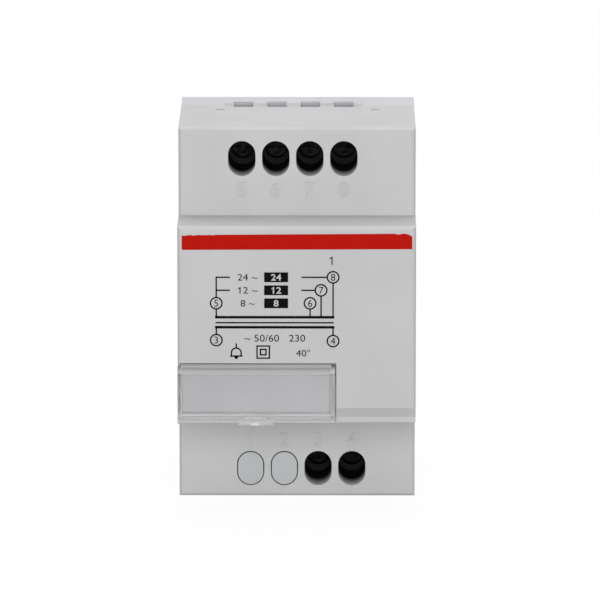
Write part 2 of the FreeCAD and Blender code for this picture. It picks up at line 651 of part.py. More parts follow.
def label_cover():
    body = new_body("label_cover")
    axis = "-hinge_depth"
    face = "(-nose_depth - flap_stand)"
    back = face + " + flap_wall"
    left = "(flap_left + flap_wall)"
    right = "(flap_right - flap_wall)"
    pad(body, "side", left, right, circle(axis, "hinge_up", "flap_round"))
    pad(body, "side", left, right, polygon(
        (face, "hinge_up"), (face, "-flap_face_end"), (face + " + flap_bevel", "-flap_bottom"),
        (back + " + flap_bevel", "-flap_bottom"), (back, "-flap_face_end"), (back, "hinge_up"),
    ))
    pocket(body, "side", left, right, circle(axis, "hinge_up", "flap_round - flap_wall"))
    pocket(body, "side", left, right, polygon(
        (axis, "hinge_up + flap_round"), (axis, "hinge_up"), (back, "hinge_up"),
        (back, "hinge_up - flap_round"), (axis + " + flap_round", "hinge_up - flap_round"),
        (axis + " + flap_round", "hinge_up + flap_round"),
    ))
    cheek_back = face + " + cheek_reach"
    cheek = polygon(
        (face, "hinge_up"), (face, "-flap_face_end"), (face + " + flap_bevel", "-cheek_bottom"),
        (cheek_back, "-cheek_bottom"), (cheek_back, "hinge_up - cheek_slope"),
        (axis + " + cheek_round", "hinge_up"),
    )
    barrel = circle(axis, "hinge_up", "cheek_round")
    for low, high in (("flap_left", left), (right, "flap_right")):
        pad(body, "side", low, high, cheek)
        pad(body, "side", low, high, barrel)
    pin = circle(axis, "hinge_up", "hinge_pin")
    pad(body, "side", "flap_left", left + " + hinge_pin_length", pin)
    pad(body, "side", right + " - hinge_pin_length", "flap_right", pin)

    # finger tab on the lower edge
    tab = face + " + flap_bevel - tab_thick"
    tab_low = "-flap_bottom - tab_drop"
    middle = face + " + flap_wall / 2"
    pad(body, "side", "-tab_left", "-tab_right", polygon(
        (tab + " - tab_thick / 2", tab_low + " + tab_height"), (tab, tab_low),
        (tab + " + flap_wall", tab_low), (middle + " + flap_bevel", "-flap_bottom"),
        (middle, "-flap_face_end"), (middle, tab_low + " + tab_height"),
    ))


def blanking_plug(number, place):
    body = new_body("blanking_plug_%d" % number)
    pad(body, "front", "shoulder_depth - plug_length", "shoulder_depth",
        obround("0", "0", "hole_width - 2 * plug_gap", "hole_height - 2 * plug_gap"))
    put(body, pole_across(place, False), "0", row_up(False))


def terminal_carrier(label, upper):
    """Black block of four terminal chambers behind a row of screw holes."""
    body = new_body(label)
    row = "upper_row" if upper else "lower_row"
    outer = "(body_height / 2 - cover_wall - fit_gap - %s)" % row
    inner = "(-cavity_height / 2 - carrier_base)"
    front = "shoulder_depth - tube_length - fit_gap"
    pad(body, "front", "base_wall", front,
        rectangle("-row_offset - carrier_half", "carrier_half - row_offset", inner, outer))
    across = [pole_across(place, True) for place in range(4)]
    collar = "(head_depth + slide_gap)"
    guide = collar + " + collar_thick"
    pocket(body, "front", "base_wall", "cavity_depth", *[
        rectangle(x + " - cavity_width / 2", x + " + cavity_width / 2",
                  "-cavity_height / 2", "cavity_height / 2") for x in across])
    pocket(body, "front", "cavity_depth", collar,
           *[circle(x, "0", "head_radius + slide_gap") for x in across])
    pocket(body, "front", collar, guide, *[circle(x, "0", "driver_radius") for x in across])
    pocket(body, "front", guide, front, *[obround(x, "0", "hole_width", "hole_height") for x in across])
    pocket(body, "top", "0", outer, *[
        rectangle(x + " - entry_width / 2", x + " + entry_width / 2", "-entry_front", "-entry_back")
        for x in across])
    pocket(body, "top", inner, "0", *[
        rectangle(x + " - (plate_width + fit_gap) / 2", x + " + (plate_width + fit_gap) / 2",
                  "-plate_front - fit_gap / 2", "plate_thick + fit_gap / 2 - plate_front") for x in across])
    put(body, "0", "0", row_up(upper), turned=not upper)


def terminal_screw(number, place, upper):
    body = new_body("terminal_screw_%d" % number)
    pad(body, "front", "plate_front + slide_gap", "head_back", circle("0", "0", "shank_radius"))
    pad(body, "front", "head_back", "head_depth", circle("0", "0", "head_radius"))
    front = -value("head_depth")
    dress(body, "Chamfer", "head_chamfer", lambda middle, run: abs(middle.y - front) < NEAR)
    long_slot = rectangle("-head_radius", "head_radius", "-slot_thick / 2", "slot_thick / 2")
    pocket(body, "front", "head_depth - slot_deep", "head_depth", long_slot)
    cross = rectangle("-slot_thick / 2", "slot_thick / 2", "-cross_span / 2", "cross_span / 2")
    pocket(body, "front", "head_depth - cross_deep", "head_depth", cross)
    put(body, pole_across(place, upper), "0", row_up(upper), turned=not upper)


def clamp_cage(number, place, upper):
    body = new_body("clamp_cage_%d" % number)
    half = "cage_width / 2"
    window_front = "(plate_front + cage_play)"
    window_back = "(%s - cage_window)" % window_front
    pad(body, "top", "-cage_height / 2", "cage_height / 2",
        rectangle("-" + half, half, "-cage_front", "cage_back_wall - " + window_back))
    dress(body, "Fillet", "cage_side_wall / 2", lambda middle, run: is_upright(run))
    pocket(body, "top", "-cage_height / 2", "cage_height / 2",
           rectangle("cage_side_wall - cage_width / 2", "cage_width / 2 - cage_side_wall",
                     "-" + window_front, "-" + window_back))
    pocket(body, "front", window_front, "cage_front", circle("0", "0", "shank_radius + thread_gap"))
    put(body, pole_across(place, upper), "0", row_up(upper), turned=not upper)


def contact_plate(number, place, upper):
    """Plate inside the cage, narrowed to a tail soldered in the bobbin's flange."""
    body = new_body("contact_plate_%d" % number)
    row = "upper_row" if upper else "lower_row"
    top = "cage_height / 2 - slide_gap"
    low = "(flange_top + bobbin_wall - %s)" % row
    foot = "flange_top - bobbin_wall - " + row
    half = "plate_width / 2"
    tail = "tail_width / 2"
    pad(body, "front", "plate_front - plate_thick", "plate_front", polygon(
        ("-" + half, top), ("-" + half, low + " + " + half), ("-" + tail, low + " + tail_width / 2"),
        ("-" + tail, foot), (tail, foot), (tail, low + " + tail_width / 2"),
        (half, low + " + " + half), (half, top),
    ))
    put(body, pole_across(place, upper), "0", row_up(upper), turned=not upper)


def core_parts():
    half = "(core_width / 2)"
    top = "(core_height / 2)"
    inner = "(core_width / 2 - yoke_height)"
    limb = "(limb_width / 2)"
    window = "(core_height / 2 - yoke_height)"
    spots = ["(core_width - yoke_height) / 2", "(core_height - yoke_height) / 2"]
    e_core = new_body("e_core")
    pad(e_core, "front", "core_back", "core_front", polygon(
        ("-" + half, "-" + top), (half, "-" + top), (half, window), (inner, window), (inner, "-" + window),
        (limb, "-" + window), (limb, window), ("-" + limb, window), ("-" + limb, "-" + window),
        ("-" + inner, "-" + window), ("-" + inner, window), ("-" + half, window),
    ))
    pocket(e_core, "front", "core_back", "core_front",
           *[circle(side + spots[0], "-" + spots[1], "bore_radius") for side in ("-", "")])
    yoke = new_body("i_yoke")
    pad(yoke, "front", "core_back", "core_front", rectangle("-" + half, half, window, top))
    pocket(yoke, "front", "core_back", "core_front",
           *[circle(side + spots[0], spots[1], "bore_radius") for side in ("-", "")])

    screws = []
    for a in ("-", ""):
        for b in ("-", ""):
            shank = doc.addObject("Part::Cylinder", "core_screw_shank")
            shank.setExpression("Radius", bind("core_screw_radius"))
            shank.setExpression("Height", bind("stack + core_screw_grip"))
            head = doc.addObject("Part::Cylinder", "core_screw_head")
            head.setExpression("Radius", bind("core_screw_head"))
            head.setExpression("Height", bind("core_screw_head_thick"))
            for item, deep in ((shank, "stack + core_screw_grip"), (head, "0")):
                item.Placement = FreeCAD.Placement(VEC(0, 0, 0), FreeCAD.Rotation(VEC(1, 0, 0), 90))
                item.setExpression("Placement.Base.x", bind(a + spots[0]))
                item.setExpression("Placement.Base.y", bind("-core_front + (%s)" % deep))
                item.setExpression("Placement.Base.z", bind(b + spots[1]))
            whole = doc.addObject("Part::Fuse", "core_screw")
            whole.Base = head
            whole.Tool = shank
            screws.append(whole)
    group = doc.addObject("Part::Compound", "core_screws")
    group.Label = "core_screws"
    group.Links = screws
    SUBPARTS.append(group)


def coil_half(margin):
    """Half width and half depth of the coil, drawn in from the bobbin's edge."""
    return "(core_width / 2 - yoke_height - bobbin_gap - (%s))" % margin, "(coil_half_depth - (%s))" % margin


def tube_half(margin):
    """Half width and half depth of the bobbin's tube, a margin out from the core's limb."""
    return "(limb_width / 2 + bobbin_gap + %s)" % margin, "(stack / 2 + bobbin_gap + %s)" % margin


def ring(outer, inner):
    return [rectangle("-" + wide, wide, "-core_middle - " + deep, deep + " - core_middle")
            for wide, deep in (outer, inner)]


def coil_levels(upper):
    """Bottom and top of the winding space in one of the bobbin's two chambers."""
    near = "bobbin_wall / 2 + coil_seat"
    far = "flange_top - bobbin_wall - coil_seat"
    return (near, far) if upper else ("-(%s)" % far, "-(%s)" % near)


def bobbin():
    body = new_body("bobbin")
    hole = tube_half("0")
    edge = coil_half("0")
    pad(body, "top", "-flange_top", "flange_top", *ring(tube_half("bobbin_wall"), hole))
    for low, high in (("-flange_top", "bobbin_wall - flange_top"),
                      ("-bobbin_wall / 2", "bobbin_wall / 2"),
                      ("flange_top - bobbin_wall", "flange_top")):
        pad(body, "top", low, high, *ring(edge, hole))

    # slots in the end flanges for the contact plates' tails
    half = "(tail_width / 2 + fit_gap)"
    for places, upper, low, high in ((UPPER, True, "flange_top - bobbin_wall", "flange_top"),
                                     (LOWER, False, "-flange_top", "bobbin_wall - flange_top")):
        middles = [pole_across(place, upper) for place in places.values()]
        pocket(body, "top", low, high, *[
            rectangle("%s - %s" % (x, half), "%s + %s" % (x, half),
                      "-plate_front - fit_gap", "plate_thick + fit_gap - plate_front") for x in middles])


def winding(label, upper):
    body = new_body(label)
    outer = coil_half("coil_margin + tape_thick")
    pad(body, "top", *coil_levels(upper), *ring(outer, tube_half("bobbin_wall + coil_seat")))
    edge = value(outer[0])
    dress(body, "Fillet", "corner_round",
          lambda middle, run: is_upright(run) and abs(middle.x) > edge - NEAR)


def tape(label, upper):
    body = new_body(label)
    inside = coil_half("coil_margin + tape_thick")
    pad(body, "top", *coil_levels(upper), *ring(coil_half("coil_margin"), inside))
    edge = value(inside[0])
    dress(body, "Fillet", "corner_round",
          lambda middle, run: is_upright(run) and abs(middle.x) < edge + NEAR)
    dress(body, "Fillet", "corner_round + tape_thick",
          lambda middle, run: is_upright(run) and abs(middle.x) > edge + NEAR)


def thermal_cutout():
    """Flat cut-out that lies on the front of the primary winding, under its lead."""
    body = new_body("thermal_cutout")
    back = "(coil_edge - coil_margin)"
    low = "-bobbin_wall / 2 - cutout_height - coil_seat"
    pad(body, "front", back, back + " + cutout_thick",
        rectangle("-cutout_width / 2", "cutout_width / 2", low, low + " + cutout_height"))
    front = -value(back + " + cutout_thick")
    dress(body, "Fillet", "cutout_round", lambda middle, run: abs(middle.y - front) < NEAR)


def finish():
    """Checks every object and writes each sub-part under its own name."""
    doc.recompute()
    for item in doc.Objects:
        if "Invalid" in item.State or "Error" in item.State:
            raise RuntimeError("%s did not build: %s" % (item.Label, item.State))
    os.makedirs("parts", exist_ok=True)
    for item in SUBPARTS:
        shape = item.Shape
        if shape.isNull() or not shape.isValid():
            raise RuntimeError("%s has no valid shape" % item.Label)
        shape.exportStep("parts/%s.step" % item.Label)
        print("%-24s %6.2f cm3, %d solid" % (item.Label, shape.Volume / 1000, len(shape.Solids)))


front_cover()
rear_housing()
rail_latch()
latch_spring()
label_cover()
for number, place in BLANKED.items():
    blanking_plug(number, place)
terminal_carrier("upper_carrier", True)
terminal_carrier("lower_carrier", False)
for numbers, upper in ((UPPER, True), (LOWER, False)):
    for number, place in numbers.items():
        terminal_screw(number, place, upper)
        clamp_cage(number, place, upper)
        contact_plate(number, place, upper)
core_parts()
bobbin()
winding("secondary_winding", True)
winding("primary_winding", False)
tape("secondary_tape", True)
tape("primary_tape", False)
thermal_cutout()
finish()
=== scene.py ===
# %% [markdown]
# A doorbell transformer for a mounting rail, dressed for a studio picture. The imported model brings every
# moulding, screw and winding at its real size. This lesson adds what a printer and a toolmaker add to it:
# the finishes, the red stripe, the printed wiring diagram and the moulded terminal numbers. It also puts in
# a coiled latch spring in place of the imported one.
#
# The frame is loaded first, because each new piece takes its place from it.

import math
import random

import bpy
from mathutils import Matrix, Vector


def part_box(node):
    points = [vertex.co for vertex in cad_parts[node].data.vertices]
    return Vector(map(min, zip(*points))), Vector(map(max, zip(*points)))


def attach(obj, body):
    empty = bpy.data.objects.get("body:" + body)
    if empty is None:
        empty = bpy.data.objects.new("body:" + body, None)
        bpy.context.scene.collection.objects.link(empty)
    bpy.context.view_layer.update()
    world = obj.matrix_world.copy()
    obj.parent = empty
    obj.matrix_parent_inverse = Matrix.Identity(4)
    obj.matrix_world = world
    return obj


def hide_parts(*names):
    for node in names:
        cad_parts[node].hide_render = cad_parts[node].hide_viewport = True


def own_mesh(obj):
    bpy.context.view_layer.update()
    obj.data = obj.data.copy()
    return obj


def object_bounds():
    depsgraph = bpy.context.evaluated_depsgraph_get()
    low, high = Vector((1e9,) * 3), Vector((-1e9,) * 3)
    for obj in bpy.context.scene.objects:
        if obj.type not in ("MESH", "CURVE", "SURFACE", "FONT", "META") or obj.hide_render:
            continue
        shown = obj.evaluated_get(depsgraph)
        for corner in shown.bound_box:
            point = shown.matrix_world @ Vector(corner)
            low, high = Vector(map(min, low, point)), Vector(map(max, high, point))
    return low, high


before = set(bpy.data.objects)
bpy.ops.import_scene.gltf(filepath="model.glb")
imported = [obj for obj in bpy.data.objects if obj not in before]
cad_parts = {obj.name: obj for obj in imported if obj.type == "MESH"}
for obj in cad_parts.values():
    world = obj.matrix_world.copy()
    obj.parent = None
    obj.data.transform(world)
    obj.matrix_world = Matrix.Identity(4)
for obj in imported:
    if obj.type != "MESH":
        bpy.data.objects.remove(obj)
cad_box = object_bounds()
MM = 0.001
random.seed(7)

# %% [markdown]
# The nose's front face and the shoulders' front face carry all the print and relief. Their depths are read
# from pieces that lie flush with them: the cover's box ends at the nose, and a blanking plug ends at the
# shoulder.

# %% Faces that carry the print
nose_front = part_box("front_cover")[0].y
shoulder_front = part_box("blanking_plug_1")[0].y
print("nose at", round(nose_front / MM, 2), "mm, shoulders at", round(shoulder_front / MM, 2), "mm")

# %% [markdown]
# The photograph looks down on the device by 11.4 degrees from nearly one and a half metres, with a long lens,
# so its upright edges stay almost parallel. A long lens is copied by a large focal length and a far camera. A
# near camera with a wide lens could frame the same object, but the shoulders would then look smaller than the
# nose.

# %% Camera
LOOK_DOWN = math.radians(11.44)
LOOK_FROM_RIGHT = math.radians(0.3)
DISTANCE = 1.45
FOCAL_PIXELS = 6429
FRAME_PIXELS = 600
SENSOR_MM = 36
STAND_OFF_FROM = Vector((0.0, -50.0, 0.0)) * MM
AIM = Vector((0.7, -50.0, 4.2)) * MM

camera = bpy.data.objects.new("camera", bpy.data.cameras.new("camera"))
bpy.context.scene.collection.objects.link(camera)
camera.data.sensor_width = SENSOR_MM
camera.data.lens = FOCAL_PIXELS / FRAME_PIXELS * SENSOR_MM
sideways = math.cos(LOOK_DOWN) * math.sin(LOOK_FROM_RIGHT)
towards = -math.cos(LOOK_DOWN) * math.cos(LOOK_FROM_RIGHT)
camera.location = STAND_OFF_FROM + DISTANCE * Vector((sideways, towards, math.sin(LOOK_DOWN)))
camera.rotation_euler = (AIM - camera.location).to_track_quat("-Z", "Y").to_euler()
bpy.context.scene.camera = camera
print("lens:", round(camera.data.lens, 1), "mm")

# %% [markdown]
# Every colour is written as the hex code that a screen shows, and shaders work with linear light, so one
# function turns the code into linear numbers. Another adds a node: it makes the node's own settings, fills
# its inputs with a value or with a link, whichever is given, and hands back one of its outputs.
#
# Noise stays near one half, so a range node stretches it before it drives a colour or a roughness. Two such
# ranges are used all over and get a name.

# %% Colour and node helpers
CLOSE = {"From Min": 0.35, "From Max": 0.65}
WIDE = {"From Min": 0.3, "From Max": 0.7}


def linear(code):
    """Linear RGBA of a hex colour such as C2C3C4."""
    parts = [int(code[i:i + 2], 16) / 255 for i in (0, 2, 4)]
    curve = [p / 12.92 if p <= 0.04045 else ((p + 0.055) / 1.055) ** 2.4 for p in parts]
    return (*curve, 1.0)


def add(tree, kind, inputs=None, output=0, **settings):
    """Adds a node with its settings, fills its inputs with values or links, and returns one output."""
    node = tree.nodes.new("ShaderNode" + kind)
    for name, setting in settings.items():
        setattr(node, name, setting)
    for key, given in (inputs or {}).items():
        if isinstance(given, bpy.types.NodeSocket):
            tree.links.new(given, node.inputs[key])
        else:
            node.inputs[key].default_value = given
    return node.outputs[output] if node.outputs else None


def new_material(name, **sockets):
    """A material whose shader sockets are set directly, with its tree and its coordinates in metres."""
    material = bpy.data.materials.new(name)
    material.use_nodes = True
    tree = material.node_tree
    shader = tree.nodes["Principled BSDF"]
    for key, given in sockets.items():
        shader.inputs[key.replace("_", " ")].default_value = given
    return material, tree, shader, add(tree, "TexCoord", output="Object")


def feed(tree, shader, **outputs):
    """Links outputs to a shader's sockets, such as Base_Color or Roughness."""
    for key, output in outputs.items():
        tree.links.new(output, shader.inputs[key.replace("_", " ")])


def coloured_so_far(material):
    """The tree and shader of a material, and the output that gives its colour, to build on."""
    shader = material.node_tree.nodes["Principled BSDF"]
    return material.node_tree, shader, shader.inputs["Base Color"].links[0].from_socket


def dress(material, *nodes):
    """Puts a material on CAD nodes by their names."""
    for name in nodes:
        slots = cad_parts[name].data.materials
        slots.clear()
        slots.append(material)


# %% [markdown]
# The housing is a light grey blend of polycarbonate and ABS, moulded against a spark-eroded steel face.
# That leaves a grain of about a third of a millimetre, too fine to see as relief from here but enough to
# spread each highlight. Two close greys drift into each other over a few centimetres, as flow and handling
# leave them. The cover, the base and the plugs come from different moulds, so each has its own grey. The
# base's grey is also painted lighter and bluer, as painted light for the light that falls on its top face.

# %% Moulded housing
GRAIN_MM, GRAIN_DEEP_MM, GRAIN_STRENGTH = 0.35, 0.012, 0.6
SPECK_MM, SPECK_SHADE = 1.05, 0.985
FLOW_MM = 16.0
MORE_POLISHED, LESS_POLISHED = 0.03, 0.04


def moulded_plastic(name, light, dark, roughness):
    """Grey moulding whose two close greys drift into each other."""
    material, tree, shader, place = new_material(name, IOR=1.55)
    flow = add(tree, "TexNoise", {"Vector": place, "Scale": 1 / (FLOW_MM * MM), "Detail": 3.0})
    specks = add(tree, "TexNoise", {"Vector": place, "Scale": 1 / (SPECK_MM * MM), "Detail": 4.0})
    fine = add(tree, "TexNoise", {"Vector": place, "Scale": 1 / (GRAIN_MM * MM), "Detail": 2.0})
    drift = add(tree, "MapRange", {"Value": flow, **CLOSE})
    greys = add(tree, "Mix", {0: drift, 6: linear(light), 7: linear(dark)}, 2, data_type="RGBA")
    shade = add(tree, "MapRange", {"Value": specks, **WIDE, "To Min": SPECK_SHADE, "To Max": 1.0})
    colour = add(tree, "Mix", {0: 1.0, 6: greys, 7: shade}, 2, data_type="RGBA", blend_type="MULTIPLY")
    matt = add(tree, "MapRange", {"Value": flow, **WIDE, "To Min": roughness - MORE_POLISHED,
                                  "To Max": roughness + LESS_POLISHED})
    relief = add(tree, "Bump", {"Height": fine, "Distance": GRAIN_DEEP_MM * MM, "Strength": GRAIN_STRENGTH})
    feed(tree, shader, Base_Color=colour, Roughness=matt, Normal=relief)
    return material


cover_grey = moulded_plastic("moulded_grey_cover", "C4C4C5", "C0C0C1", 0.42)
# the base's grey is lighter and bluer than the cover's: painted light for the light on its top face
base_grey_painted_lighter = moulded_plastic("moulded_grey_base_painted_lighter", "CDCCD1", "C8C7CC", 0.44)
plug_grey = moulded_plastic("moulded_grey_plug", "BCBFC0", "B7BABB", 0.46)
dress(cover_grey, "front_cover")
dress(base_grey_painted_lighter, "rear_housing")
dress(plug_grey, "blanking_plug_1", "blanking_plug_2")
print("housing grain:", GRAIN_MM, "mm")

# %% [markdown]
# The screw holes are deep and narrow, so they lie in shade almost up to their edge. Their walls are painted
# pale at the lip as painted light and darker further in as painted shade, so a hole looks black almost up to
# its edge. The holes have no material of their own, because they are part of the cover. A mask picks them out
# by place: behind the shoulder's face, and in two level bands that stay clear of the outer walls.

# %% Painted light and shade on the walls of the screw holes
HOLES_ACROSS_MM, HOLES_FROM_MM, HOLES_TO_MM, MASK_SOFT_MM = 22.0, 30.0, 40.2, 0.5
LIP_FROM_MM, LIP_TO_MM = 0.03, 0.12
HOLE_SHADE_MM = 6.8


def shade_holes(material, lip, deep):
    """Paints the walls of the screw holes pale at their lip and darker inwards: painted light and painted
    shade.
    """
    tree, shader, unshaded = coloured_so_far(material)
    at = add(tree, "SeparateXYZ", {"Vector": add(tree, "TexCoord", output="Object")}).node.outputs
    across = add(tree, "Math", {0: at["X"]}, operation="ABSOLUTE")
    up = add(tree, "Math", {0: at["Z"]}, operation="ABSOLUTE")
    inside = add(tree, "MapRange", {"Value": at["Y"], "From Min": shoulder_front + LIP_FROM_MM * MM,
                                    "From Max": shoulder_front + LIP_TO_MM * MM})
    for way, inner, outer in ((across, HOLES_ACROSS_MM, HOLES_ACROSS_MM + MASK_SOFT_MM),
                              (up, HOLES_TO_MM, HOLES_TO_MM + MASK_SOFT_MM),
                              (up, HOLES_FROM_MM, HOLES_FROM_MM - MASK_SOFT_MM)):
        near = add(tree, "MapRange", {"Value": way, "From Min": inner * MM, "From Max": outer * MM,
                                      "To Min": 1.0, "To Max": 0.0})
        inside = add(tree, "Math", {0: inside, 1: near}, operation="MULTIPLY")
    depth = add(tree, "MapRange", {"Value": at["Y"], "From Min": shoulder_front,
                                   "From Max": shoulder_front + HOLE_SHADE_MM * MM})
    wall = add(tree, "Mix", {0: depth, 6: linear(lip), 7: linear(deep)}, 2, data_type="RGBA")
    feed(tree, shader, Base_Color=add(tree, "Mix", {0: inside, 6: unshaded, 7: wall}, 2, data_type="RGBA"))


# the pale lip is painted light and the near-black depth is painted shade
shade_holes(cover_grey, "F4F4F4", "141514")

# %% [markdown]
# A dark line of painted shade runs round each blanking plug, where the narrow gap to the cover lies in shade.
# It is painted on the plug's side walls and over its rim. The walls are found by the way they face. The rim
# is found by its distance from the middle of the plug's round ends. Both plugs are one shape, mirrored about
# the line between them, so one mask does for both.

# %% Painted shade round the plugs
WALL_UNTIL, FACE_FROM = 0.5, 0.95
RIM_MM, RIM_SOFT_MM = 0.16, 0.08
GAP_SHADE = "2B2B2B"


def soil_sides(material, colour):
    """Darkens the walls that face sideways, as painted shade round a plug or a raised number."""
    tree, shader, unshaded = coloured_so_far(material)
    facing = add(tree, "SeparateXYZ", {"Vector": add(tree, "TexCoord", output="Normal")}, "Y")
    facing = add(tree, "Math", {0: facing}, operation="ABSOLUTE")
    in_front = add(tree, "MapRange", {"Value": facing, "From Min": WALL_UNTIL, "From Max": FACE_FROM})
    side_shaded = add(tree, "Mix", {0: in_front, 6: linear(colour), 7: unshaded}, 2, data_type="RGBA")
    feed(tree, shader, Base_Color=side_shaded)


# painted shade: the plug's side walls are darkened where the gap round it lies in shade
soil_sides(plug_grey, GAP_SHADE)
plug_low, plug_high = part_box("blanking_plug_1")
next_low, next_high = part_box("blanking_plug_2")
pair_middle = ((plug_low.x + next_high.x) / 2, 0, (plug_low.z + plug_high.z) / 2)
end_radius = (plug_high.x - plug_low.x) / 2
end_middle = ((next_low.x - plug_low.x) / 2, 0, (plug_high.z - plug_low.z) / 2 - end_radius)

# the thin dark ring over the plug's rim is painted shade too
tree, shader, side_shaded = coloured_so_far(plug_grey)
place = add(tree, "TexCoord", output="Object")
from_pair = add(tree, "VectorMath", {0: place, 1: pair_middle}, operation="SUBTRACT")
away = add(tree, "VectorMath", {0: from_pair}, operation="ABSOLUTE")
from_end = add(tree, "VectorMath", {0: away, 1: end_middle}, operation="SUBTRACT")
ways = add(tree, "SeparateXYZ", {"Vector": from_end}).node.outputs
beyond = add(tree, "Math", {0: ways["Z"], 1: 0.0}, operation="MAXIMUM")
flat = add(tree, "CombineXYZ", {"X": ways["X"], "Z": beyond})
reach = add(tree, "VectorMath", {0: flat}, "Value", operation="LENGTH")
rim = add(tree, "MapRange", {"Value": reach, "From Min": end_radius - RIM_MM * MM,
                             "From Max": end_radius - RIM_SOFT_MM * MM})
feed(tree, shader, Base_Color=add(tree, "Mix", {0: rim, 6: side_shaded, 7: linear(GAP_SHADE)}, 2, data_type="RGBA"))
print("plugs:", round(2 * end_radius / MM, 2), "mm wide, with a rim of", RIM_MM, "mm")

# %% [markdown]
# Behind the screw holes lie blocks of glass-filled black polyamide. The fibres near its skin make it satin
# and a little cloudy. The thermal cut-out's case and the latch are the same family of plastic, and the
# latch is a dark grey. The black is never pure, because a little light always comes back from a moulded
# skin.

# %% Black and dark grey polyamide
FIBRE_MM, FIBRE_DEEP_MM, FIBRE_STRENGTH = 0.25, 0.01, 0.5
CLOUD_MM = 2.5
GLOSSIER, DULLER = 0.06, 0.08


def fibre_filled(name, colour, cloud, roughness):
    """Glass-filled polyamide, cloudy and satin."""
    material, tree, shader, place = new_material(name, IOR=1.53)
    clouds = add(tree, "TexNoise", {"Vector": place, "Scale": 1 / (CLOUD_MM * MM), "Detail": 3.0})
    fibres = add(tree, "TexNoise", {"Vector": place, "Scale": 1 / (FIBRE_MM * MM), "Detail": 3.0})
    cloudy = add(tree, "MapRange", {"Value": clouds, "From Min": 0.4, "From Max": 0.7})
    colours = add(tree, "Mix", {0: cloudy, 6: linear(colour), 7: linear(cloud)}, 2, data_type="RGBA")
    satin = add(tree, "MapRange", {"Value": fibres, **WIDE, "To Min": roughness - GLOSSIER,
                                   "To Max": roughness + DULLER})
    relief = add(tree, "Bump", {"Height": fibres, "Distance": FIBRE_DEEP_MM * MM,
                                "Strength": FIBRE_STRENGTH})
    feed(tree, shader, Base_Color=colours, Roughness=satin, Normal=relief)
    return material


chamber_black = fibre_filled("glass_filled_polyamide_black", "0D0E0F", "151617", 0.55)
chamber_black.node_tree.nodes["Principled BSDF"].inputs["Specular IOR Level"].default_value = 0.15
latch_grey = fibre_filled("glass_filled_polyamide_grey", "5A5D61", "505357", 0.45)
dress(chamber_black, "upper_carrier", "lower_carrier", "thermal_cutout")
dress(latch_grey, "rail_latch")

# %% [markdown]
# Terminal screws and their cages are steel. The screws are turned, and lie in the shade of the deep holes, so
# they show only as dark discs with a slot: their near-black colour is painted shade, with a soft sheen. The
# cages are stamped and bright zinc-plated, with the faint cloudy patches that a barrel leaves. Metal takes
# its colour from its base colour and keeps the default index of refraction.

# %% Plated steel
DIMPLES_PER_PATCH = 6
DIMPLE_DEEP_MM, DIMPLE_STRENGTH = 0.006, 0.4
BRIGHTER, DIMMER = 0.07, 0.1
TERMINALS = range(3, 9)


def plated_steel(name, bright, dull, roughness, patch_mm):
    """Plated metal with cloudy patches and fine dimples."""
    material, tree, shader, place = new_material(name, Metallic=1.0)
    patches = add(tree, "TexNoise", {"Vector": place, "Scale": 1 / (patch_mm * MM), "Detail": 4.0})
    dimples = add(tree, "TexNoise", {"Vector": place, "Scale": DIMPLES_PER_PATCH / (patch_mm * MM),
                                     "Detail": 2.0})
    cloudy = add(tree, "MapRange", {"Value": patches, **CLOSE})
    colours = add(tree, "Mix", {0: cloudy, 6: linear(bright), 7: linear(dull)}, 2, data_type="RGBA")
    sheen = add(tree, "MapRange", {"Value": patches, **WIDE, "To Min": roughness - BRIGHTER,
                                   "To Max": roughness + DIMMER})
    relief = add(tree, "Bump", {"Height": dimples, "Distance": DIMPLE_DEEP_MM * MM,
                                "Strength": DIMPLE_STRENGTH})
    feed(tree, shader, Base_Color=colours, Roughness=sheen, Normal=relief)
    return material


# the screws' near-black colour is painted shade of the deep holes
screw_steel_painted_dark = plated_steel("steel_painted_dark_as_shade", "1F2022", "151617", 0.5, 1.5)
cage_steel = plated_steel("bright_zinc_steel", "C9CCD0", "A9ADB2", 0.34, 2.0)
spring_wire = plated_steel("spring_steel_wire", "9A9DA1", "7D8084", 0.30, 0.8)
plate_brass = plated_steel("tinned_brass", "D2D0C6", "B9B4A2", 0.36, 2.5)
dress(screw_steel_painted_dark, *["terminal_screw_%d" % n for n in TERMINALS])
dress(cage_steel, *["clamp_cage_%d" % n for n in TERMINALS], "core_screws")
dress(plate_brass, *["contact_plate_%d" % n for n in TERMINALS])
dress(spring_wire, "latch_spring")

# %% [markdown]
# The core is a stack of half-millimetre sheets of silicon steel, stamped and varnished. Bands along the depth
# draw the sheets, because a wave texture makes bands at a real spacing more evenly than a stretched noise.

# %% Laminated core
SHEET_MM, SHEET_DEEP_MM, SHEET_STRENGTH = 0.5, 0.03, 0.5
VARNISH_MM = 6.0
# a wave texture turns by 20 radians in a unit at a scale of 1, so this scale makes one band in a unit
ONE_BAND = math.pi / 10

core_steel, tree, shader, place = new_material("varnished_silicon_steel", Metallic=0.85)
sheets = add(tree, "TexWave", {"Vector": place, "Scale": ONE_BAND / (SHEET_MM * MM)}, "Fac",
             wave_type="BANDS", bands_direction="Y", wave_profile="SAW")
varnish = add(tree, "TexNoise", {"Vector": place, "Scale": 1 / (VARNISH_MM * MM), "Detail": 4.0})
thickness = add(tree, "MapRange", {"Value": varnish, **CLOSE})
blue_grey = add(tree, "Mix", {0: thickness, 6: linear("5E6166"), 7: linear("4A4640")}, 2, data_type="RGBA")
seam = add(tree, "MapRange", {"Value": sheets, "From Min": 0.85, "From Max": 1.0})
edges = add(tree, "Mix", {0: seam, 6: blue_grey, 7: linear("26221E")}, 2, data_type="RGBA")
gloss = add(tree, "MapRange", {"Value": varnish, **WIDE, "To Min": 0.38, "To Max": 0.55})
steps = add(tree, "Bump", {"Height": sheets, "Distance": SHEET_DEEP_MM * MM, "Strength": SHEET_STRENGTH})
feed(tree, shader, Base_Color=edges, Roughness=gloss, Normal=steps)
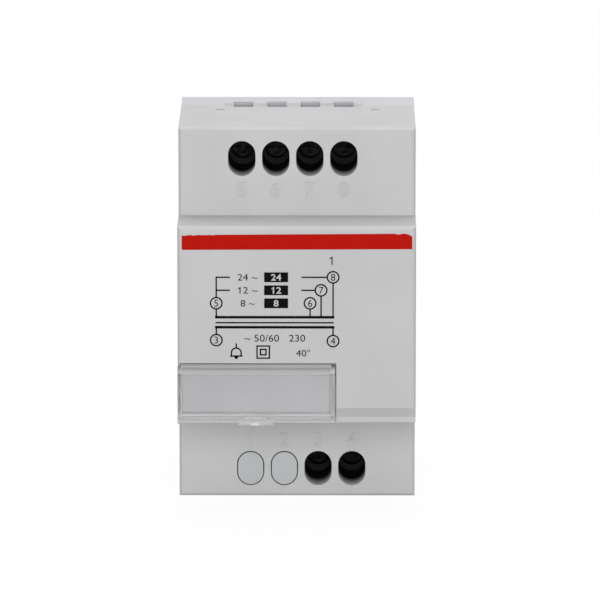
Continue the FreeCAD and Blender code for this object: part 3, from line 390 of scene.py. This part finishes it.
dress(core_steel, "e_core", "i_yoke")

# %% [markdown]
# The windings are enamelled copper wire, thin on the mains side and thick on the bell side. Seen from outside
# a winding is a stack of parallel turns, so round-topped bands along the coil's height stand for them. The
# enamel is a clear lacquer over the metal, which the shader's coat gives.

# %% Enamelled copper windings
def copper_turns(name, wire_mm, colour, shadow):
    """A wall of lacquered wire, with a groove between the turns."""
    material, tree, shader, place = new_material(name, Metallic=1.0, Roughness=0.28,
                                                 Coat_Weight=0.7, Coat_Roughness=0.12)
    turns = add(tree, "TexWave", {"Vector": place, "Scale": ONE_BAND / (wire_mm * MM)}, "Fac",
                wave_type="BANDS", bands_direction="Z", wave_profile="SIN")
    # the darker colour in the grooves between turns is painted shade
    crown = add(tree, "MapRange", {"Value": turns, "From Min": 0.0, "From Max": 0.45})
    colours = add(tree, "Mix", {0: crown, 6: linear(shadow), 7: linear(colour)}, 2, data_type="RGBA")
    relief = add(tree, "Bump", {"Height": turns, "Distance": wire_mm / 3 * MM, "Strength": 1.0})
    feed(tree, shader, Base_Color=colours, Normal=relief)
    return material


dress(copper_turns("enamelled_copper_fine", 0.3, "B4562B", "4E2010"), "primary_winding")
dress(copper_turns("enamelled_copper_thick", 0.9, "C06A38", "5A2814"), "secondary_winding")

# %% [markdown]
# Yellow polyester tape wraps each winding. It is glossy, and a little uneven where it bridges the turns. The
# bobbin inside is natural glass-filled polyamide, an off-white.

# %% Winding tape and bobbin
BRIDGE_MM, BRIDGE_DEEP_MM, BRIDGE_STRENGTH = 4.0, 0.08, 0.6

tape_yellow, tree, shader, place = new_material("polyester_tape_yellow", IOR=1.6, Coat_Weight=0.4)
waves = add(tree, "TexNoise", {"Vector": place, "Scale": 1 / (BRIDGE_MM * MM), "Detail": 2.0})
tight = add(tree, "MapRange", {"Value": waves, **WIDE})
yellows = add(tree, "Mix", {0: tight, 6: linear("DDA92A"), 7: linear("CF971C")}, 2, data_type="RGBA")
gloss = add(tree, "MapRange", {"Value": waves, **WIDE, "To Min": 0.22, "To Max": 0.34})
relief = add(tree, "Bump", {"Height": waves, "Distance": BRIDGE_DEEP_MM * MM, "Strength": BRIDGE_STRENGTH})
feed(tree, shader, Base_Color=yellows, Roughness=gloss, Normal=relief)
dress(tape_yellow, "primary_tape", "secondary_tape")
dress(fibre_filled("glass_filled_polyamide_natural", "DEDACB", "D2CDBC", 0.5), "bobbin")

# %% [markdown]
# The label cover is a flap of clear polycarbonate over a blank recess. Clear plastic bends light, so the
# recess looks a little darker and its edges gather bright and dark lines. The shader's transmission and the
# flap's real wall give both, and pale bands of painted highlight add to the bright lines. Lamps would cast a
# solid shadow through it, so for shadow rays a tinted transparent shader stands in.

# %% Clear label cover
FLAP_WALL_MM, BEVEL_MM = 0.9, 2.4
LINE_PAINTED_LIGHT, BEVEL_PAINTED_LIGHT, CHEEK_PAINTED_LIGHT = 0.55, 0.22, 0.35
BEVEL_LINE_MM, EDGE_LINE_MM, CHEEK_LINE_MM, TAB_LINE_MM = 0.16, 0.3, 0.14, 0.2
BEVEL_SOFT_MM, CHEEK_SHARE = 0.1, 0.8

flap_low, flap_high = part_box("label_cover")
clear_cover, tree, shader, place = new_material("clear_polycarbonate", IOR=1.3)
corner = add(tree, "SeparateXYZ", {"Vector": place}).node.outputs


def near_level(axis, level, half_mm):
    """1 at a level along an axis, falling to 0 at half the band's width from it."""
    away = add(tree, "Math", {0: corner[axis], 1: level}, operation="SUBTRACT")
    away = add(tree, "Math", {0: away}, operation="ABSOLUTE")
    return add(tree, "MapRange", {"Value": away, "From Min": half_mm * MM / 2, "From Max": half_mm * MM,
                                  "To Min": 1.0, "To Max": 0.0})


def up_to(axis, start, end, most=1.0):
    """A value that grows from 0 at one level along an axis to its most at another."""
    return add(tree, "MapRange", {"Value": corner[axis], "From Min": start, "From Max": end, "To Max": most})


# %% [markdown]
# Pale lines of painted highlight run round the flap, where its moulded corners catch the light: bands by
# place, in a near white that lets little light through, at the levels where its face meets the bevel, the
# lower edge and the two end cheeks. Where two bands cross, the larger value counts.

# %% Painted highlight lines of the label cover
TAB_DROP_MM, EDGE_UP_MM = 0.6, 0.15
lower_edge = flap_low.z + TAB_DROP_MM * MM
wall = FLAP_WALL_MM * MM
painted_highlight_lines = near_level("Z", flap_low.z + BEVEL_MM * MM, BEVEL_LINE_MM)
for band in (("Z", lower_edge + EDGE_UP_MM * MM, EDGE_LINE_MM), ("X", flap_high.x - wall, CHEEK_LINE_MM),
             ("X", flap_low.x + wall, CHEEK_LINE_MM), ("X", flap_low.x, CHEEK_LINE_MM)):
    painted_highlight_lines = add(tree, "Math", {0: painted_highlight_lines, 1: near_level(*band)}, operation="MAXIMUM")

# %% [markdown]
# The finger tab has a line of painted highlight along its top. Screwdrivers lift the flap there, so the tab's
# lower edge is chipped, and chipped clear plastic turns white and rough. A fine noise says where, within a
# patch that fades upwards from the edge.

# %% Finger tab, and painted light on the bevel and cheek
TAB_FROM_LEFT_MM, TAB_MM, TAB_TOP_MM = 17.5, 8.0, 1.1
SCUFF_HALF_MM, CHIP_MM, CHIP_FROM_MM, CHIP_TO_MM = 1.7, 0.5, 0.2, 0.7
CHIPPED = {"From Min": 0.42, "From Max": 0.5}
tab_x = flap_low.x + TAB_FROM_LEFT_MM * MM
tab_highlight_line = add(tree, "Math", {0: near_level("X", tab_x, TAB_MM / 2),
                              1: near_level("Z", lower_edge + TAB_TOP_MM * MM, TAB_LINE_MM)},
               operation="MULTIPLY")
painted_highlight_lines = add(tree, "Math", {0: painted_highlight_lines, 1: tab_highlight_line}, operation="MAXIMUM")
chips = add(tree, "TexNoise", {"Vector": place, "Scale": 1 / (CHIP_MM * MM), "Detail": 3.0})
low_down = add(tree, "MapRange", {"Value": corner["Z"], "From Min": lower_edge - CHIP_FROM_MM * MM,
                                  "From Max": lower_edge + CHIP_TO_MM * MM, "To Min": 1.0, "To Max": 0.0})
scuffed = add(tree, "Math", {0: near_level("X", tab_x, SCUFF_HALF_MM), 1: low_down}, operation="MULTIPLY")
scuffed = add(tree, "Math", {0: scuffed, 1: chips}, operation="MULTIPLY")
chipped = add(tree, "MapRange", {"Value": scuffed, **CHIPPED})

# the bevel and the right cheek are lightened all over, as painted light
bevel_painted_light = up_to("Z", flap_low.z + BEVEL_MM * MM, flap_low.z + (BEVEL_MM - BEVEL_SOFT_MM) * MM,
              BEVEL_PAINTED_LIGHT)
cheek_painted_light = up_to("X", flap_high.x - wall, flap_high.x - CHEEK_SHARE * wall, CHEEK_PAINTED_LIGHT)
chips_and_painted_light = add(tree, "Math", {0: painted_highlight_lines, 1: LINE_PAINTED_LIGHT}, operation="MULTIPLY")
for part in (bevel_painted_light, cheek_painted_light, chipped):
    chips_and_painted_light = add(tree, "Math", {0: chips_and_painted_light, 1: part}, operation="MAXIMUM")

# %% [markdown]
# The rolled upper edge holds the hinge bead. It is drawn as a nearly opaque grey, with a paler band at its
# top as painted light and a dark line along its middle as painted shade. The clear body has a tint of its
# own, and the painted highlight lines and the chips take a near white.

# %% Rolled edge with painted light and shade, and tints
ROLL_MM, ROLL_PALE_MM, SHADE_LINE_MM, SHADE_LINE_HALF_MM = 2.3, 0.9, 0.92, 0.35
ROLL_SOFT_MM, PALE_SOFT_MM = 0.5, 0.3
top = flap_high.z
rolled = up_to("Z", top - ROLL_MM * MM, top - (ROLL_MM - ROLL_SOFT_MM) * MM)
pale = up_to("Z", top - ROLL_PALE_MM * MM, top - (ROLL_PALE_MM - PALE_SOFT_MM) * MM)
# painted light: the top band of the roll is paler
roll_light_and_shade = add(tree, "Mix", {0: pale, 6: linear("BBBBBB"), 7: linear("CCCCCC")}, 2, data_type="RGBA")
# painted shade: a dark line along the middle of the roll
shade_line = near_level("Z", top - SHADE_LINE_MM * MM, SHADE_LINE_HALF_MM)
roll_light_and_shade = add(tree, "Mix", {0: shade_line, 6: roll_light_and_shade, 7: linear("A4A4A4")}, 2, data_type="RGBA")

body_tint = add(tree, "Mix", {0: rolled, 6: linear("DFDFE0"), 7: roll_light_and_shade}, 2, data_type="RGBA")
# the painted highlight lines, the painted light on bevel and cheek, and the real chips take this near white
tint = add(tree, "Mix", {0: chips_and_painted_light, 6: body_tint, 7: linear("E9EAEA")}, 2, data_type="RGBA")
chips_and_painted_light_and_shade = add(tree, "Math", {0: chips_and_painted_light, 1: rolled}, operation="MAXIMUM")
clear = add(tree, "MapRange", {"Value": chips_and_painted_light_and_shade, "To Min": 1.0, "To Max": 0.1})
rough = add(tree, "MapRange", {"Value": chips_and_painted_light_and_shade, "To Min": 0.05, "To Max": 0.6})
feed(tree, shader, Base_Color=tint, Transmission_Weight=clear, Roughness=rough)
let_through = add(tree, "BsdfTransparent", {"Color": linear("D0D0D0")})
for_shadow = add(tree, "LightPath", output="Is Shadow Ray")
either = add(tree, "MixShader", {0: for_shadow, 1: shader.outputs["BSDF"], 2: let_through})
tree.links.new(either, tree.nodes["Material Output"].inputs["Surface"])
dress(clear_cover, "label_cover")
print("label cover:", round((flap_high.x - flap_low.x) / MM, 2), "mm long")

# %% [markdown]
# All print is ink a few hundredths of a millimetre thick. It could be painted into the housing's material,
# but as thin solids of their own the stripe and the lines keep crisp edges at any distance. The ink is matt,
# and a worn pad leaves it a little thinner in places.

# %% Inks
INK_MM = 0.04
WEAR_MM = 1.2
WORN = {"From Min": 0.55, "From Max": 0.75}
INK_DULLER = 0.1


def pad_ink(name, thick, thin, roughness):
    """Pad-printed ink."""
    material, tree, shader, place = new_material(name, IOR=1.5, Specular_IOR_Level=0.0)
    wear = add(tree, "TexNoise", {"Vector": place, "Scale": 1 / (WEAR_MM * MM), "Detail": 4.0})
    worn = add(tree, "MapRange", {"Value": wear, **WORN})
    colours = add(tree, "Mix", {0: worn, 6: linear(thick), 7: linear(thin)}, 2, data_type="RGBA")
    matt = add(tree, "MapRange", {"Value": wear, **WIDE, "To Min": roughness,
                                  "To Max": roughness + INK_DULLER})
    feed(tree, shader, Base_Color=colours, Roughness=matt)
    return material


red_ink = pad_ink("pad_ink_red", "BD1C14", "BE2016", 0.45)
black_ink = pad_ink("pad_ink_black", "141516", "1E1F20", 0.45)
grey_ink = pad_ink("pad_ink_light_grey", "C6C7C9", "BEBFC1", 0.42)

# %% [markdown]
# Each mark is drawn flat, as on paper, with X across and Y up, in millimetres from the middle of the
# face. Bars and lines start as a plane, rings as a disc that is inset and emptied.

# %% Flat marks
DISC_STEPS = 40


def deselect():
    bpy.ops.object.select_all(action="DESELECT")


def edit_all(mark):
    """Opens a mesh in edit mode with all of it selected."""
    bpy.context.view_layer.objects.active = mark
    bpy.ops.object.mode_set(mode="EDIT")
    bpy.ops.mesh.select_all(action="SELECT")


def fix_place():
    """Puts the selected object's place, turn and scale into its mesh."""
    bpy.ops.object.transform_apply(location=True, rotation=True, scale=True)
    return bpy.context.object


def bar(left, low, right, high):
    """A filled upright rectangle."""
    deselect()
    bpy.ops.mesh.primitive_plane_add(size=1, location=((left + right) / 2 * MM, (low + high) / 2 * MM, 0))
    bpy.context.object.scale = ((right - left) * MM, (high - low) * MM, 1)
    return fix_place()


def line(x0, y0, x1, y1, thick):
    """A level or upright line, square at its ends."""
    half = thick / 2
    return bar(min(x0, x1) - half, min(y0, y1) - half, max(x0, x1) + half, max(y0, y1) + half)


def square(x, y, half):
    return bar(x - half, y - half, x + half, y + half)


def disc(x, y, radius):
    deselect()
    bpy.ops.mesh.primitive_circle_add(vertices=DISC_STEPS, radius=radius * MM, fill_type="NGON",
                                      location=(x * MM, y * MM, 0))
    return fix_place()


def hollow_out(mark, thick):
    """Leaves only a rim of a filled mark."""
    edit_all(mark)
    bpy.ops.mesh.inset(thickness=thick * MM, depth=0)
    bpy.ops.mesh.delete(type="FACE")
    bpy.ops.object.mode_set(mode="OBJECT")
    return mark


def keep_above(mark, level):
    """Cuts a flat mark at a height and keeps what lies above it."""
    edit_all(mark)
    bpy.ops.mesh.bisect(plane_co=(0, level * MM, 0), plane_no=(0, 1, 0), clear_inner=True)
    bpy.ops.object.mode_set(mode="OBJECT")
    return mark


# %% [markdown]
# The marks of one ink are joined, given thickness and stood up on their face. They ride on the housing,
# because that is the body they are printed on. The moulded numbers go the same way, with more thickness.

# %% Joining and standing up
def join(pieces, onto):
    """Joins meshes into one of them."""
    deselect()
    for piece in pieces:
        piece.select_set(True)
    bpy.context.view_layer.objects.active = onto
    if len(pieces) > 1:
        bpy.ops.object.join()
    return onto


def stand_up(name, marks, face, thick, material):
    """Joins flat marks, gives them thickness and stands them on an upright face."""
    piece = join(marks, marks[0])
    piece.name = piece.data.name = name
    ink = piece.modifiers.new("thickness", "SOLIDIFY")
    ink.thickness = thick * MM
    ink.offset = 1.0
    bpy.ops.object.modifier_apply(modifier=ink.name)
    # digits come out of a text object with smooth shading, which would round off their flat faces
    bpy.ops.object.shade_flat()
    piece.rotation_euler = (math.radians(90), 0, 0)
    piece.location = (0, face, 0)
    fix_place()
    piece.data.materials.clear()
    piece.data.materials.append(material)
    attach(piece, "housing")
    print(name, "with", len(piece.data.polygons), "faces")


# %% [markdown]
# The red stripe crosses the whole nose. It rises to the right, by a fifth of a millimetre at its lower edge
# and by a third at its upper one. The upper edge is ragged at the left, where the ink did not take, nicked
# near its right end and chipped at its right corner. A plane cut into short lengths is the quickest start:
# each cut on the upper edge can then be moved by its own small amount.

# %% Red stripe
STRIPE_LEFT, STRIPE_RIGHT = -25.74, 25.86
STRIPE_LOW_LEFT, STRIPE_LOW_RIGHT = 17.2, 17.4
STRIPE_HIGH_LEFT, STRIPE_HIGH_RIGHT = 20.6, 20.95
STRIPE_CUTS = 103
RAGGED_UNTIL, RAGGED_BY = -18.5, 0.22
NICK_FROM, NICK_TO, NICK_LEAST, NICK_MOST = 22.0, 23.4, 0.05, 0.3
CHIP_FROM, CHIP_STEP, CHIP_DROP = 24.6, 0.15, 0.55


def upper_edge(x, share):
    """Height of the stripe's upper edge: straight, ragged at its left end and chipped at its right end."""
    height = STRIPE_HIGH_LEFT + share * (STRIPE_HIGH_RIGHT - STRIPE_HIGH_LEFT)
    if x < RAGGED_UNTIL:
        height -= random.uniform(0.0, RAGGED_BY)
    if NICK_FROM < x < NICK_TO:
        height -= random.uniform(NICK_LEAST, NICK_MOST)
    if x > CHIP_FROM:
        height -= CHIP_STEP + CHIP_DROP * ((x - CHIP_FROM) / (STRIPE_RIGHT - CHIP_FROM)) ** 2
    return height


stripe = bar(STRIPE_LEFT, STRIPE_LOW_LEFT, STRIPE_RIGHT, STRIPE_HIGH_RIGHT)
bpy.ops.object.mode_set(mode="EDIT")
bpy.ops.mesh.select_all(action="DESELECT")
bpy.ops.mesh.select_mode(type="EDGE")
bpy.ops.object.mode_set(mode="OBJECT")
for edge in stripe.data.edges:
    ends = [stripe.data.vertices[i].co for i in edge.vertices]
    edge.select = abs(ends[0].y - ends[1].y) < MM / 10
bpy.ops.object.mode_set(mode="EDIT")
bpy.ops.mesh.subdivide(number_cuts=STRIPE_CUTS)
bpy.ops.object.mode_set(mode="OBJECT")
middle = (STRIPE_LOW_LEFT + STRIPE_HIGH_RIGHT) / 2 * MM
for vertex in stripe.data.vertices:
    x = vertex.co.x / MM
    share = (x - STRIPE_LEFT) / (STRIPE_RIGHT - STRIPE_LEFT)
    low = STRIPE_LOW_LEFT + share * (STRIPE_LOW_RIGHT - STRIPE_LOW_LEFT)
    vertex.co.y = (upper_edge(x, share) if vertex.co.y > middle else low) * MM
stand_up("red_stripe", [stripe], nose_front, INK_MM, red_ink)

# %% [markdown]
# The diagram shows how the device is wired: the bell side above the double bar, the mains side below it,
# and a ring with its number for each terminal. Circles are filled discs that are inset and emptied, so a
# ring's width is the same all round. Under the wiring stand two signs: a bell, and the double square of a
# device with double insulation.

# %% Wiring diagram
FINE, THICK = 0.32, 0.58
RING_RADIUS = 1.46
COLUMNS = {5: -18.04, 6: 3.0, 7: 5.46, 8: 8.15, 3: -18.04, 4: 8.15}
ROWS = {5: 5.04, 6: 5.04, 7: 8.01, 8: 10.98, 3: -3.4, 4: -3.6}
UPPER_BAR, MIDDLE_BAR, LOWER_BAR = 1.85, 0.59, -0.44
LEFT_TICK_END, RIGHT_TICK_START = -15.13, 1.21

marks = [hollow_out(disc(COLUMNS[n], ROWS[n], RING_RADIUS), FINE) for n in COLUMNS]
left, right = COLUMNS[5], COLUMNS[8]
marks += [line(left, UPPER_BAR, right, UPPER_BAR, THICK), line(left, MIDDLE_BAR, right, MIDDLE_BAR, FINE),
          line(left, LOWER_BAR, right, LOWER_BAR, THICK)]
marks += [line(COLUMNS[n], UPPER_BAR, COLUMNS[n], ROWS[n] - RING_RADIUS, FINE) for n in (5, 6, 7, 8)]
marks += [line(COLUMNS[n], LOWER_BAR, COLUMNS[n], ROWS[n] + RING_RADIUS, FINE) for n in (3, 4)]
marks += [line(left, ROWS[5] + RING_RADIUS, left, ROWS[8], FINE)]
marks += [line(left, ROWS[n], LEFT_TICK_END, ROWS[n], FINE) for n in (7, 8)]
marks += [line(RIGHT_TICK_START, ROWS[n], COLUMNS[n] - RING_RADIUS, ROWS[n], FINE) for n in (7, 8)]

# filled boxes of the three ratings
BOX_LEFT, BOX_RIGHT, BOX_TALL = -7.30, -1.93, 2.24
marks += [bar(BOX_LEFT, ROWS[n] - BOX_TALL / 2, BOX_RIGHT, ROWS[n] + BOX_TALL / 2) for n in (8, 7, 6)]

# bell sign: a dome with short straight sides on its rim, a stem above and a clapper below
BELL_X, BELL_RIM, BELL_RADIUS, BELL_SKIRT, BELL_STEM = -13.57, -7.05, 1.25, 0.75, 0.75
CLAPPER_RADIUS = 0.42
dome_level = BELL_RIM + BELL_SKIRT
dome = keep_above(hollow_out(disc(BELL_X, dome_level, BELL_RADIUS), FINE), dome_level)
clapper = disc(BELL_X, BELL_RIM + FINE / 2 - CLAPPER_RADIUS, CLAPPER_RADIUS)
side = BELL_RADIUS - FINE / 2
marks += [dome, clapper, line(BELL_X - BELL_RADIUS, BELL_RIM, BELL_X + BELL_RADIUS, BELL_RIM, FINE),
          line(BELL_X - side, BELL_RIM, BELL_X - side, dome_level, FINE),
          line(BELL_X + side, BELL_RIM, BELL_X + side, dome_level, FINE),
          line(BELL_X, dome_level + BELL_RADIUS, BELL_X, dome_level + BELL_RADIUS + BELL_STEM, FINE)]

# double square of a device with double insulation
SQUARE_X, SQUARE_Y = -7.52, -6.14
SQUARE_HALVES = (1.55, 0.78)
marks += [hollow_out(square(SQUARE_X, SQUARE_Y, half), FINE) for half in SQUARE_HALVES]
stand_up("wiring_diagram", marks, nose_front, INK_MM, black_ink)

# %% [markdown]
# Numbers could be drawn as lines as well, but a text object made into a mesh gives even, rounded digits at
# once. The built-in type draws a 1 as a bare stem, so each 1 gets the flag that the real one has. A stroke
# can be made bolder by a share of the letter height, which the pale numbers in the dark boxes need.

# %% Digits
STEM_SHARE, TALL_SHARE = 0.25, 0.8
FLAG_LEFT, FLAG_TOP, FLAG_LOW, FLAG_LOW_END = -0.3, -0.2, -0.34, -0.16
FLAG_TOP_SLOPE, FLAG_LOW_SLOPE = 0.667, 0.6
CURVE_STEPS = 4


def with_flags(mark, height):
    """Gives each 1 its flag, because in the plain type a 1 is a bare stem."""
    bpy.ops.object.mode_set(mode="EDIT")
    bpy.ops.mesh.select_all(action="SELECT")
    bpy.ops.mesh.separate(type="LOOSE")
    bpy.ops.object.mode_set(mode="OBJECT")
    glyphs = list(bpy.context.selected_objects)
    flags = []
    for glyph in glyphs:
        xs = [v.co.x for v in glyph.data.vertices]
        ys = [v.co.y for v in glyph.data.vertices]
        if max(xs) - min(xs) < STEM_SHARE * height and max(ys) - min(ys) > TALL_SHARE * height:
            centre, top = (min(xs) + max(xs)) / 2, max(ys)
            # the flag stops at the stem's side, because faces that lie in one another turn black
            end = (min(xs) - centre) / height
            places = ((FLAG_LEFT, FLAG_LOW), (end, FLAG_LOW_SLOPE * end + FLAG_LOW_END),
                      (FLAG_LEFT, FLAG_TOP), (end, FLAG_TOP_SLOPE * end))
            bpy.ops.mesh.primitive_plane_add(size=1)
            flag = bpy.context.object
            for vertex, (across, up) in zip(flag.data.vertices, places):
                vertex.co = (centre + across * height, top + up * height, 0)
            flags.append(flag)
    return join(glyphs + flags, mark)


def words(text, x, y, height, squeeze=1.0, weight=0.0):
    """A number set in plain type, centred on a point, with its height and its added weight given."""
    deselect()
    bpy.ops.object.text_add()
    mark = bpy.context.object
    mark.data.body = text
    mark.data.align_x = "CENTER"
    mark.data.align_y = "CENTER"
    mark.data.resolution_u = CURVE_STEPS
    mark.data.offset = weight
    bpy.ops.object.convert(target="MESH")
    mark = bpy.context.object
    heights = [v.co.y for v in mark.data.vertices]
    scale = height * MM / (max(heights) - min(heights))
    middle = (max(heights) + min(heights)) / 2
    for vertex in mark.data.vertices:
        vertex.co = (vertex.co.x * scale * squeeze + x * MM, (vertex.co.y - middle) * scale + y * MM, 0)
    return with_flags(mark, height * MM) if "1" in text else mark


# %% [markdown]
# Each ring has its terminal's number. Beside the ticks stand the bell side's voltages, and in the boxes the
# ratings, in a pale ink that lies on the black one. Below the bars stand the mains side's numbers.

# %% Printed numbers
NUMBER_TALL, RATING_TALL, TOP_NUMBER_TALL = 1.6, 1.5, 1.9
BROAD, BROADER = 1.1, 1.15
HEAVY = 0.02
VOLTAGE_X = -11.0
# the mains side's numbers, the warmest surroundings and a lone 1 above, with place, height and breadth
OTHERS = (("~ 50/60   230", -4.9, -2.95, NUMBER_TALL, BROAD), ("40\u00b0", 1.5, -6.35, NUMBER_TALL, BROAD),
          ("1", 7.9, 14.75, TOP_NUMBER_TALL))

numbers = [words(str(n), COLUMNS[n], ROWS[n], NUMBER_TALL) for n in COLUMNS]
numbers += [words(text, VOLTAGE_X, ROWS[n], RATING_TALL, BROADER)
            for text, n in (("24 ~", 8), ("12 ~", 7), ("8 ~", 6))]
numbers += [words(*other) for other in OTHERS]
stand_up("printed_numbers", numbers, nose_front, INK_MM, black_ink)
ratings = [words(text, (BOX_LEFT + BOX_RIGHT) / 2, ROWS[n], RATING_TALL, BROADER, HEAVY)
           for text, n in (("24", 8), ("12", 7), ("8", 6))]
stand_up("rating_numbers", ratings, nose_front - INK_MM * MM, INK_MM, grey_ink)

# %% [markdown]
# The terminal numbers under and over the screw holes are part of the moulding: the mould is engraved, so they
# stand out of the shoulder by a fraction of a millimetre. The mould is polished where it is engraved, so they
# are a little smoother than the face. Their side walls are darkened as painted shade, which outlines them.
# They are set from the screws' own places, and the two blanked holes give the places of 1 and 2.

# %% Moulded terminal numbers
RELIEF_MM = 0.3
UPPER_NUMBER_DROP, LOWER_NUMBER_RISE = 7.25, 6.7
UPPER_NUMBER_TALL, LOWER_NUMBER_TALL = 3.7, 3.3
FIRST_UPPER = 5

holders = {n: "terminal_screw_%d" % n for n in TERMINALS}
holders.update({n: "blanking_plug_%d" % n for n in (1, 2)})
raised = []
for number, holder in holders.items():
    low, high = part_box(holder)
    x, z = (low.x + high.x) / 2 / MM, (low.z + high.z) / 2 / MM
    if number >= FIRST_UPPER:
        raised.append(words(str(number), x, z - UPPER_NUMBER_DROP, UPPER_NUMBER_TALL, weight=HEAVY))
    else:
        raised.append(words(str(number), x, z + LOWER_NUMBER_RISE, LOWER_NUMBER_TALL, weight=HEAVY))
polished_grey = moulded_plastic("moulded_grey_numbers", "BFC0C1", "BCBDBE", 0.3)
# painted shade on the side walls of the raised numbers
soil_sides(polished_grey, "989A9C")
stand_up("moulded_numbers", raised, shoulder_front, RELIEF_MM, polished_grey)

# %% [markdown]
# The latch's spring shortens as the latch is drawn down, while an imported node keeps its shape at every
# pose. A coil of the same size stands for it here. A ring that turns round the spring's axis while it climbs
# makes the round wire, as a coiling machine does.

# %% Latch spring
COIL_TURNS, COIL_STEPS, WIRE_SIDES = 5, 28, 12
WIRE_MM = 0.27

low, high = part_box("latch_spring")
wire = WIRE_MM * MM
deselect()
bpy.ops.mesh.primitive_circle_add(vertices=WIRE_SIDES, radius=wire, rotation=(math.radians(90), 0, 0),
                                  location=((high.x - low.x) / 2 - wire, 0, 0))
spring = fix_place()
spring.name = spring.data.name = "return_spring"
climb = spring.modifiers.new("coil", "SCREW")
climb.axis = "Z"
climb.iterations = COIL_TURNS
climb.screw_offset = (high.z - low.z - 2 * wire) / COIL_TURNS
climb.steps = climb.render_steps = COIL_STEPS
bpy.ops.object.modifier_apply(modifier=climb.name)
edit_all(spring)
bpy.ops.mesh.fill_holes(sides=0)
bpy.ops.mesh.normals_make_consistent(inside=False)
bpy.ops.object.mode_set(mode="OBJECT")
spring.location = ((low.x + high.x) / 2, (low.y + high.y) / 2, low.z + wire)
fix_place()
spring.data.materials.append(spring_wire)
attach(spring, "housing")
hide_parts("latch_spring")
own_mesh(spring)

# %% [markdown]
# The studio is a white surround and a pale floor. The surround is shown at full white to the camera, and to
# glossy and clear surfaces, while it lights the object at a lower level, so the grey plastic keeps its tone
# and the picture keeps its white ground.
#
# The floor does the same with two papers. What is seen is mostly a white glow with a little matt white in it,
# which keeps the object's shadow. What lights the object from below is a plain light grey.

# %% Floor and surround
SURROUND_LIGHT = 0.24
FLOOR_SHADOW, FLOOR_GLOW = 0.08, 1.02
FLOOR_SIZE, FLOOR_CLEAR_MM = 8, 0.1


def seen_directly(tree):
    """1 for rays of the camera, of reflections and through clear plastic."""
    paths = add(tree, "LightPath").node.outputs
    seen = add(tree, "Math", {0: paths["Is Camera Ray"], 1: paths["Is Glossy Ray"]}, operation="MAXIMUM")
    return add(tree, "Math", {0: seen, 1: paths["Is Transmission Ray"]}, operation="MAXIMUM")


floor_level = min(corner[2] for corner in cad_box)

world = bpy.data.worlds.new("surround")
bpy.context.scene.world = world
world.use_nodes = True
tree = world.node_tree
tree.nodes.clear()
shown = add(tree, "Background", {"Color": linear("FFFFFF"), "Strength": 1.0})
lighting = add(tree, "Background", {"Color": linear("FBFCFF"), "Strength": SURROUND_LIGHT})
either = add(tree, "MixShader", {0: seen_directly(tree), 1: lighting, 2: shown})
add(tree, "OutputWorld", {"Surface": either})

deselect()
bpy.ops.mesh.primitive_plane_add(size=FLOOR_SIZE, location=(0, 0, floor_level - FLOOR_CLEAR_MM * MM))
floor = bpy.context.object
floor.name = "studio_floor"
paper = bpy.data.materials.new("matt_white_paper")
paper.use_nodes = True
tree = paper.node_tree
tree.nodes.clear()
white_matt = add(tree, "BsdfDiffuse", {"Color": linear("FFFFFF")})
grey_matt = add(tree, "BsdfDiffuse", {"Color": linear("BEBEBE")})
glow = add(tree, "Emission", {"Color": linear("FFFFFF"), "Strength": FLOOR_GLOW})
shown = add(tree, "MixShader", {0: FLOOR_SHADOW, 1: glow, 2: white_matt})
either = add(tree, "MixShader", {0: seen_directly(tree), 1: grey_matt, 2: shown})
add(tree, "OutputMaterial", {"Surface": either})
floor.data.materials.append(paper)
print("floor at", round(floor_level / MM, 2), "mm")

# %% [markdown]
# Five soft boxes light the device. The large one high in front does most of it, a small low one lifts the
# shadow under the nose, one above and behind brightens the top, and a weak one at each side rounds the edges.
# A lamp is placed in metres and turned to face the device.

# %% Lamps
LAMPS = (("lamp_front", (0.0, -1.6, 0.55), 1.2, 13.5), ("lamp_low", (0.0, -1.6, 0.02), 0.4, 3.5),
         ("lamp_top", (0.0, 0.35, 1.1), 0.8, 8.0), ("lamp_left", (-1.1, -0.8, 0.05), 0.5, 1.4),
         ("lamp_right", (1.1, -0.8, 0.05), 0.5, 2.4))

for name, location, size, watts in LAMPS:
    lamp = bpy.data.objects.new(name, bpy.data.lights.new(name, "AREA"))
    lamp.data.size = size
    lamp.data.energy = watts
    lamp.location = location
    lamp.rotation_euler = (-Vector(location)).to_track_quat("-Z", "Y").to_euler()
    bpy.context.scene.collection.objects.link(lamp)
    print(name, watts, "W")

# %% [markdown]
# The view transform is Standard, so a grey of the material comes out as the same grey in the picture.

# %% Finish
bpy.context.scene.view_settings.view_transform = "Standard"
